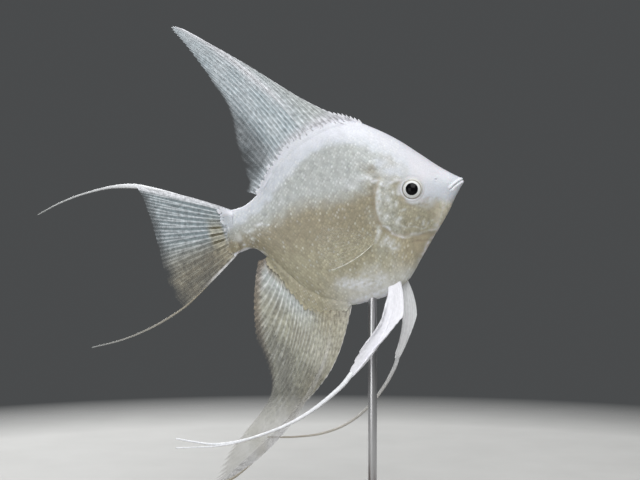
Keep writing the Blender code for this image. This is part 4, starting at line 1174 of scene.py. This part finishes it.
def thread(name, points, radii, colours, nodes, finish, solid=(1, 1), rings=90):
    """A streamer: a long tapering thread, a little flattened and jointed, and closed at both ends."""
    piece, share, turn = sheet_of(name, rings - 1, THREAD_SIDES)
    turn = turn * TAU
    step = 0.004
    ahead = along(points, np.minimum(share + step, 1)) - along(points, np.maximum(share - step, 0))
    ahead /= np.linalg.norm(ahead, axis=1)[:, None]
    across = np.cross(ahead, np.array([0.0, 1.0, 0.0]))
    across /= np.linalg.norm(across, axis=1)[:, None]
    aside = np.cross(across, ahead)
    radius = evenly(radii, share) * (1 + JOINT_SWELL * np.sin(share * JOINT_RATE))
    radius = radius * (share > 0.0001) * (share < 0.9999)
    place = along(points, share) + across * (radius * np.cos(turn))[:, None]
    place = place + aside * (THREAD_FLATNESS * radius * np.sin(turn))[:, None]
    move_points(piece, place)
    paint(piece, mix(np.tile(colours[0], (len(share), 1)), colours[1], share), evenly(solid, share))
    lay_map(piece, "rays", turn, share * THREAD_MAP)
    close_up(piece, merge=SEAM)
    set_up(piece, POSE, finish, 60, "fin", *nodes)


def streamers():
    """Each streamer grows out of its fin's longest ray, and the tail's and the anal fin's start inside it."""
    finish = fin_finish("fin threads", 0.8, 0.4, 0.4)
    white, silver, grey, beige = (srgb(*tone) for tone in (
        (232, 234, 238), (214, 216, 218), (178, 180, 178), (176, 166, 144)))
    top = fin_point(TAIL, np.zeros(3), np.array([0.55, 0.70, 0.85]))
    low = fin_point(TAIL, np.ones(2), np.array([0.60, 0.80]))
    front = fin_point(ANAL_SAIL, np.zeros(2), np.array([0.80, 0.90]))
    right, left = ([f"pelvic_streamer_{side}_{i}" for i in (1, 2, 3)] for side in ("right", "left"))
    thread("tail_thread_upper", [*top, *TAIL_STREAMER_UPPER], (0.05, 0.5, 0.75, 0.40, 0.28, 0.24, 0.16),
           (white, grey), ["tail_streamer_upper"], finish, (1, 1, 0.9, 0.7))
    thread("tail_thread_lower", [*low, *TAIL_STREAMER_LOWER], (0.05, 0.28, 0.32, 0.28, 0.24, 0.18),
           (beige, grey), ["tail_streamer_lower"], finish, (0.6, 0.45))
    thread("anal_thread", [*front, *ANAL_STREAMER], (0.05, 0.4, 0.5, 0.35, 0.2),
           (beige, grey), ["anal_fin_streamer"], finish, (0.8, 0.7), rings=50)
    thread("pelvic_thread_right", PELVIC_STREAMER_RIGHT, (0.85, 0.64, 0.48, 0.40, 0.24),
           (white, white), [*right, "pelvic_streamer_right_tip_1"], finish, rings=140)
    thread("pelvic_thread_right_second", PELVIC_STREAMER_RIGHT_TIP, (0.32, 0.2),
           (white, white), ["pelvic_streamer_right_tip_2"], finish, rings=60)
    thread("pelvic_thread_left", PELVIC_STREAMER_LEFT, (0.72, 0.5, 0.40, 0.30),
           (silver, beige), left, finish, (1, 0.9, 0.7, 0.55), rings=120)


# ---------------------------------------------------------------- the eyes
PUPIL_RADIUS, PUPIL_SOFTNESS = 2.04, 0.012
PUPIL_OFF = (0.06, 0.10)     # the pupil's middle lies this far ahead of the eye's and above it
PUPIL_BLACK, IRIS_WHITE = (0.0035, 0.0035, 0.004), (0.70, 0.71, 0.70)
OUTER_RING, RIM_BROWN = (0.62, 0.62, 0.59), (0.20, 0.18, 0.14)
LENS_RISE, IRIS_DIP, OUTER_RISE = 0.15, 0.05, 0.06


def eye_finish(centre):
    """Black pupil in a white iris with a thin dark rim and a pale outer ring that darkens at the ball's edge
    as painted shadow, under a clear wet coat.
    """
    f = Finish("eye", Roughness=0.2, Coat_Weight=0.1, Coat_Roughness=0.03, IOR=1.16)
    place = f.node("TexCoord").outputs["Object"]
    streaks = f.noise(place, 1800.0, 3.0)
    flat = (1 / (EYE_RADIUS * MM), 0, 1 / (EYE_RADIUS * MM))

    def away(middle):
        length = f.vector("LENGTH", f.vector("MULTIPLY", f.vector("SUBTRACT", place, middle), flat))
        return f.math("ADD", length, f.math("MULTIPLY_ADD", streaks, 0.04, -0.02))

    # the last stop darkens the ball's very edge: painted shadow of the groove round the eye
    tone = f.ramp(away(centre), [
        (0.0, IRIS_WHITE), (0.74, IRIS_WHITE), (0.785, (0.50, 0.49, 0.45)), (0.82, RIM_BROWN),
        (0.85, (0.45, 0.44, 0.41)), (0.88, OUTER_RING), (0.96, OUTER_RING), (1.0, (0.34, 0.32, 0.28))])
    pupil = PUPIL_RADIUS / EYE_RADIUS
    lens = POSE @ (POSE.inverted() @ centre + Vector((PUPIL_OFF[0], 0, PUPIL_OFF[1])))
    outside = f.ramp(away(lens), [
        (0.0, (0, 0, 0)), (pupil - PUPIL_SOFTNESS, (0, 0, 0)), (pupil + PUPIL_SOFTNESS, (1, 1, 1))])
    f.into("Base Color", f.mixed(outside, (*PUPIL_BLACK, 1.0), tone))
    return f.material


def eye(word, side):
    """An eyeball with a raised lens and a shallow ring of iris."""
    half_width = body_point(np.array([EYE_X]), np.array([math.pi / 2]))[0, 1]
    centre = Vector((EYE_X, side * (half_width + EYE_BULGE - EYE_DEPTH), EYE_Z))
    piece = added(f"eyeball_{word}", bpy.ops.mesh.primitive_uv_sphere_add, segments=72, ring_count=44,
                  radius=1, rotation=(math.pi / 2, 0, 0))
    bpy.ops.object.transform_apply(rotation=True)
    ball = points_of(piece)
    radius = np.hypot(ball[:, 0], ball[:, 2]) * EYE_RADIUS
    lens = LENS_RISE * (1 - ramp(radius, 0.6, PUPIL_RADIUS + 0.1)) - IRIS_DIP * bump(radius, 2.78, 0.16)
    lens = lens + OUTER_RISE * bump(radius, 3.2, 0.25)
    ball[:, 1] *= EYE_DEPTH + lens * (np.abs(ball[:, 1]) > 0.3)
    ball[:, [0, 2]] *= EYE_RADIUS
    move_points(piece, ball + np.array(centre))
    set_up(piece, POSE, eye_finish(POSE @ centre), 80, "eye", f"eye_{word}")


# ---------------------------------------------------------------- the stand
CORNER_RADIUS, CORNER_STEPS = 14.0, 20
GROOVE_FROM_EDGE, GROOVE_SLOPE, GROOVE_DEPTH = 1.6, 0.4, 0.5
BOARD_ROUNDING, ROD_ROUNDING = 0.45, 0.15
SHARP = 35                   # edges past this many degrees are rounded and stay sharp in the shading
STEEL_IN_WOOD, ROD_IN_BODY = 0.3, 1.2
ROD_CLEARANCE = 0.05
RING_SEAM = 0.001            # the turned ring's last points are merged with its first within this


def wood_finish():
    """Dark stained hardwood: long grain with fine pores, under a satin lacquer."""
    f = Finish("dark stained wood", Roughness=0.38, Coat_Weight=0.35, Coat_Roughness=0.18)
    place = f.node("TexCoord").outputs["Object"]
    stretched = f.squeezed(place, (6.0, 60.0, 60.0))
    wander = f.noise(stretched, 1.2, 3.0)
    rings = f.node("TexWave", {"wave_type": "BANDS", "bands_direction": "Y"}, Vector=stretched, Scale=0.55,
                   Distortion=7.0, Detail=4.0, Detail_Scale=1.4).outputs["Fac"]
    pores = f.noise(f.squeezed(place, (40.0, 900.0, 900.0)), 2.0, 2.0)
    grain = f.math("MULTIPLY_ADD", rings, 0.6, f.math("MULTIPLY", wander, 0.4))
    tone = f.ramp(grain, [(0.15, (0.035, 0.016, 0.008)), (0.9, (0.13, 0.065, 0.032))])
    f.into("Base Color", f.toned(tone, f.ramp(pores, [(0.55, (1, 1, 1)), (0.7, (0.45, 0.45, 0.45))])))
    f.into("Roughness", f.math("MULTIPLY_ADD", pores, 0.16, 0.30))
    f.roughen(f.math("MULTIPLY_ADD", pores, -0.7, grain), 0.35, 0.00012)
    return f.material


def steel_finish(name, squash):
    """Brushed steel, the brushing drawn out across the given axes."""
    f = Finish(name, Metallic=1.0, Roughness=0.3)
    lines = f.noise(f.squeezed(f.node("TexCoord").outputs["Object"], squash), 1.0, 3.0)
    f.into("Base Color", f.ramp(lines, [(0.2, (0.48, 0.48, 0.49)), (0.8, (0.66, 0.66, 0.67))]))
    f.into("Roughness", f.math("MULTIPLY_ADD", lines, 0.22, 0.20))
    f.roughen(lines, 0.25, 0.00003)
    return f.material


def room_box(node):
    low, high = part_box(node)
    return np.array(low) / MM, np.array(high) / MM


def rounded(piece, width, segments):
    """Rounds a piece's sharp edges."""
    modified(piece, "BEVEL", width=width, segments=segments, limit_method="ANGLE",
             angle_limit=math.radians(SHARP))


def base_board():
    """The wooden base: rounded corners, a fine groove round its top and softened edges."""
    low, high = room_box("stand_base")
    base = added("stand_base_wood", bpy.ops.mesh.primitive_cube_add, size=1, location=(high + low) / 2,
                 scale=high - low)
    bpy.ops.object.transform_apply(location=True, rotation=True, scale=True)
    points = base.data.vertices

    def upright(edge):
        a, b = (points[i].co for i in edge.vertices)
        return abs(a.z - b.z) > 1.0

    edit(base, "DESELECT", "EDGE")
    choose(base.data.edges, upright)
    bpy.ops.mesh.bevel(offset=CORNER_RADIUS, segments=CORNER_STEPS, profile=0.5)
    bpy.ops.mesh.select_all(action="DESELECT")
    bpy.ops.mesh.select_mode(type="FACE")
    choose(base.data.polygons, lambda face: face.normal.z > 0.9)
    bpy.ops.mesh.inset(thickness=GROOVE_FROM_EDGE)
    for deeper in (-GROOVE_DEPTH, GROOVE_DEPTH):
        bpy.ops.mesh.inset(thickness=GROOVE_SLOPE)
        bpy.ops.transform.translate(value=(0, 0, deeper))
    done()
    rounded(base, BOARD_ROUNDING, 4)
    set_up(base, UPRIGHT, wood_finish(), SHARP, "stand_wood", "stand_base")


def stand():
    base_board()
    low, high = room_box("stand_rod")
    axis, radius = (low + high) / 2, (high[0] - low[0]) / 2
    foot, top = low[2] - STEEL_IN_WOOD, high[2] + ROD_IN_BODY
    rod = added("stand_rod_steel", bpy.ops.mesh.primitive_cylinder_add, vertices=48, radius=radius,
                depth=top - foot, location=(axis[0], axis[1], (top + foot) / 2))
    bpy.ops.object.transform_apply(location=True)
    rounded(rod, ROD_ROUNDING, 3)
    finish = steel_finish("brushed rod", (9000.0, 9000.0, 60.0))
    set_up(rod, UPRIGHT, finish, SHARP, "stand_steel", "stand_rod")
    collar(axis, radius, *room_box("stand_collar"))


def collar(axis, hole, low, high):
    """A turned collar: a flange on the wood, a hollow curve up and a rounded lip round the rod."""
    outer, height = (high[0] - low[0]) / 2, high[2] - low[2]
    hole = hole + ROD_CLEARANCE
    profile = [(hole, 0.0), (outer - 0.25, 0.0), (outer, 0.25), (outer, 0.75), (outer - 0.25, 1.0),
               (outer - 0.9, 1.15), (outer - 1.35, 1.6), (outer - 1.5, height - 0.45),
               (outer - 1.7, height - 0.1), (outer - 2.0, height), (hole, height)]
    ring = added("stand_collar_steel", bpy.ops.mesh.primitive_circle_add, vertices=len(profile), radius=1)
    move_points(ring, [(axis[0] + away, axis[1], low[2] - STEEL_IN_WOOD + up) for away, up in profile])
    edit(ring)
    bpy.ops.mesh.spin(steps=64, angle=TAU, center=(axis[0], axis[1], 0), axis=(0, 0, 1))
    done()
    close_up(ring, merge=RING_SEAM)
    finish = steel_finish("turned collar", (60.0, 60.0, 9000.0))
    set_up(ring, UPRIGHT, finish, 40, "stand_steel", "stand_collar")


# ---------------------------------------------------------------- the room
FLOOR_RADIUS = 0.36
FLOOR_TONES = [(0.3, (0.44, 0.44, 0.43)), (0.7, (0.47, 0.47, 0.46))]
FLOOR_FADE = 3.5
ROOM_GREY = (0.068, 0.071, 0.073)
# The lamps: name, place, width in metres and power in watts
LAMPS = [
    ("top light", (0.10, -0.16, 0.80), 0.60, 3.2),
    ("front light", (0.16, -0.70, 0.72), 0.70, 6.9),
    ("low light", (-0.40, -0.80, 0.05), 0.50, 1.7),
    ("back light", (-0.35, 0.60, 0.50), 0.50, 5.0),
]
LAMPS_AIM = Vector((0.0, 0.0, 0.105))
CAMERA_AROUND, CAMERA_UP, CAMERA_AWAY = math.radians(8), math.radians(3), 0.6
CAMERA_AIM = Vector((-0.0033, 0, 0.1017))
SENSOR_WIDTH, FOCAL_LENGTH = 36, 101.25


def turned_to(thing, way):
    """Points a lamp or a camera this way."""
    thing.rotation_euler = way.to_track_quat("-Z", "Y").to_euler()


def lay_floor():
    """A pale floor that fades into the room at its edge."""
    floor = added("floor", bpy.ops.mesh.primitive_circle_add, vertices=96, radius=FLOOR_RADIUS,
                  fill_type="NGON")
    f = Finish("pale floor", Roughness=0.7)
    place = f.node("TexCoord").outputs["Object"]
    f.into("Base Color", f.ramp(f.noise(place, 40.0), FLOOR_TONES))
    inwards = f.math("SUBTRACT", 1.0, f.math("DIVIDE", f.vector("LENGTH", place), FLOOR_RADIUS))
    f.into("Alpha", f.math("MINIMUM", f.math("MULTIPLY", inwards, FLOOR_FADE), 1.0))
    floor.data.materials.append(f.material)


def studio():
    """A plain dark grey room with soft lamps above, in front, low at the side and behind, and the camera."""
    lay_floor()
    scene = bpy.context.scene
    scene.world = bpy.data.worlds.new("room")
    scene.world.use_nodes = True
    background = scene.world.node_tree.nodes["Background"]
    background.inputs["Color"].default_value = (*ROOM_GREY, 1.0)
    background.inputs["Strength"].default_value = 1.0
    for name, place, width, power in LAMPS:
        bpy.ops.object.light_add(type="AREA", location=place)
        lamp = bpy.context.object
        lamp.name = name
        lamp.data.size, lamp.data.energy = width, power
        turned_to(lamp, LAMPS_AIM - Vector(place))
    away = Vector((math.sin(CAMERA_AROUND) * math.cos(CAMERA_UP),
                   -math.cos(CAMERA_AROUND) * math.cos(CAMERA_UP), math.sin(CAMERA_UP)))
    bpy.ops.object.camera_add(location=CAMERA_AIM + away * CAMERA_AWAY)
    camera = bpy.context.object
    turned_to(camera, -away)
    camera.data.sensor_width, camera.data.lens = SENSOR_WIDTH, FOCAL_LENGTH
    scene.camera = camera
    scene.view_settings.view_transform = "Standard"


skin()
scales()
fins()
streamers()
eye("left", 1)
eye("right", -1)
stand()
studio()
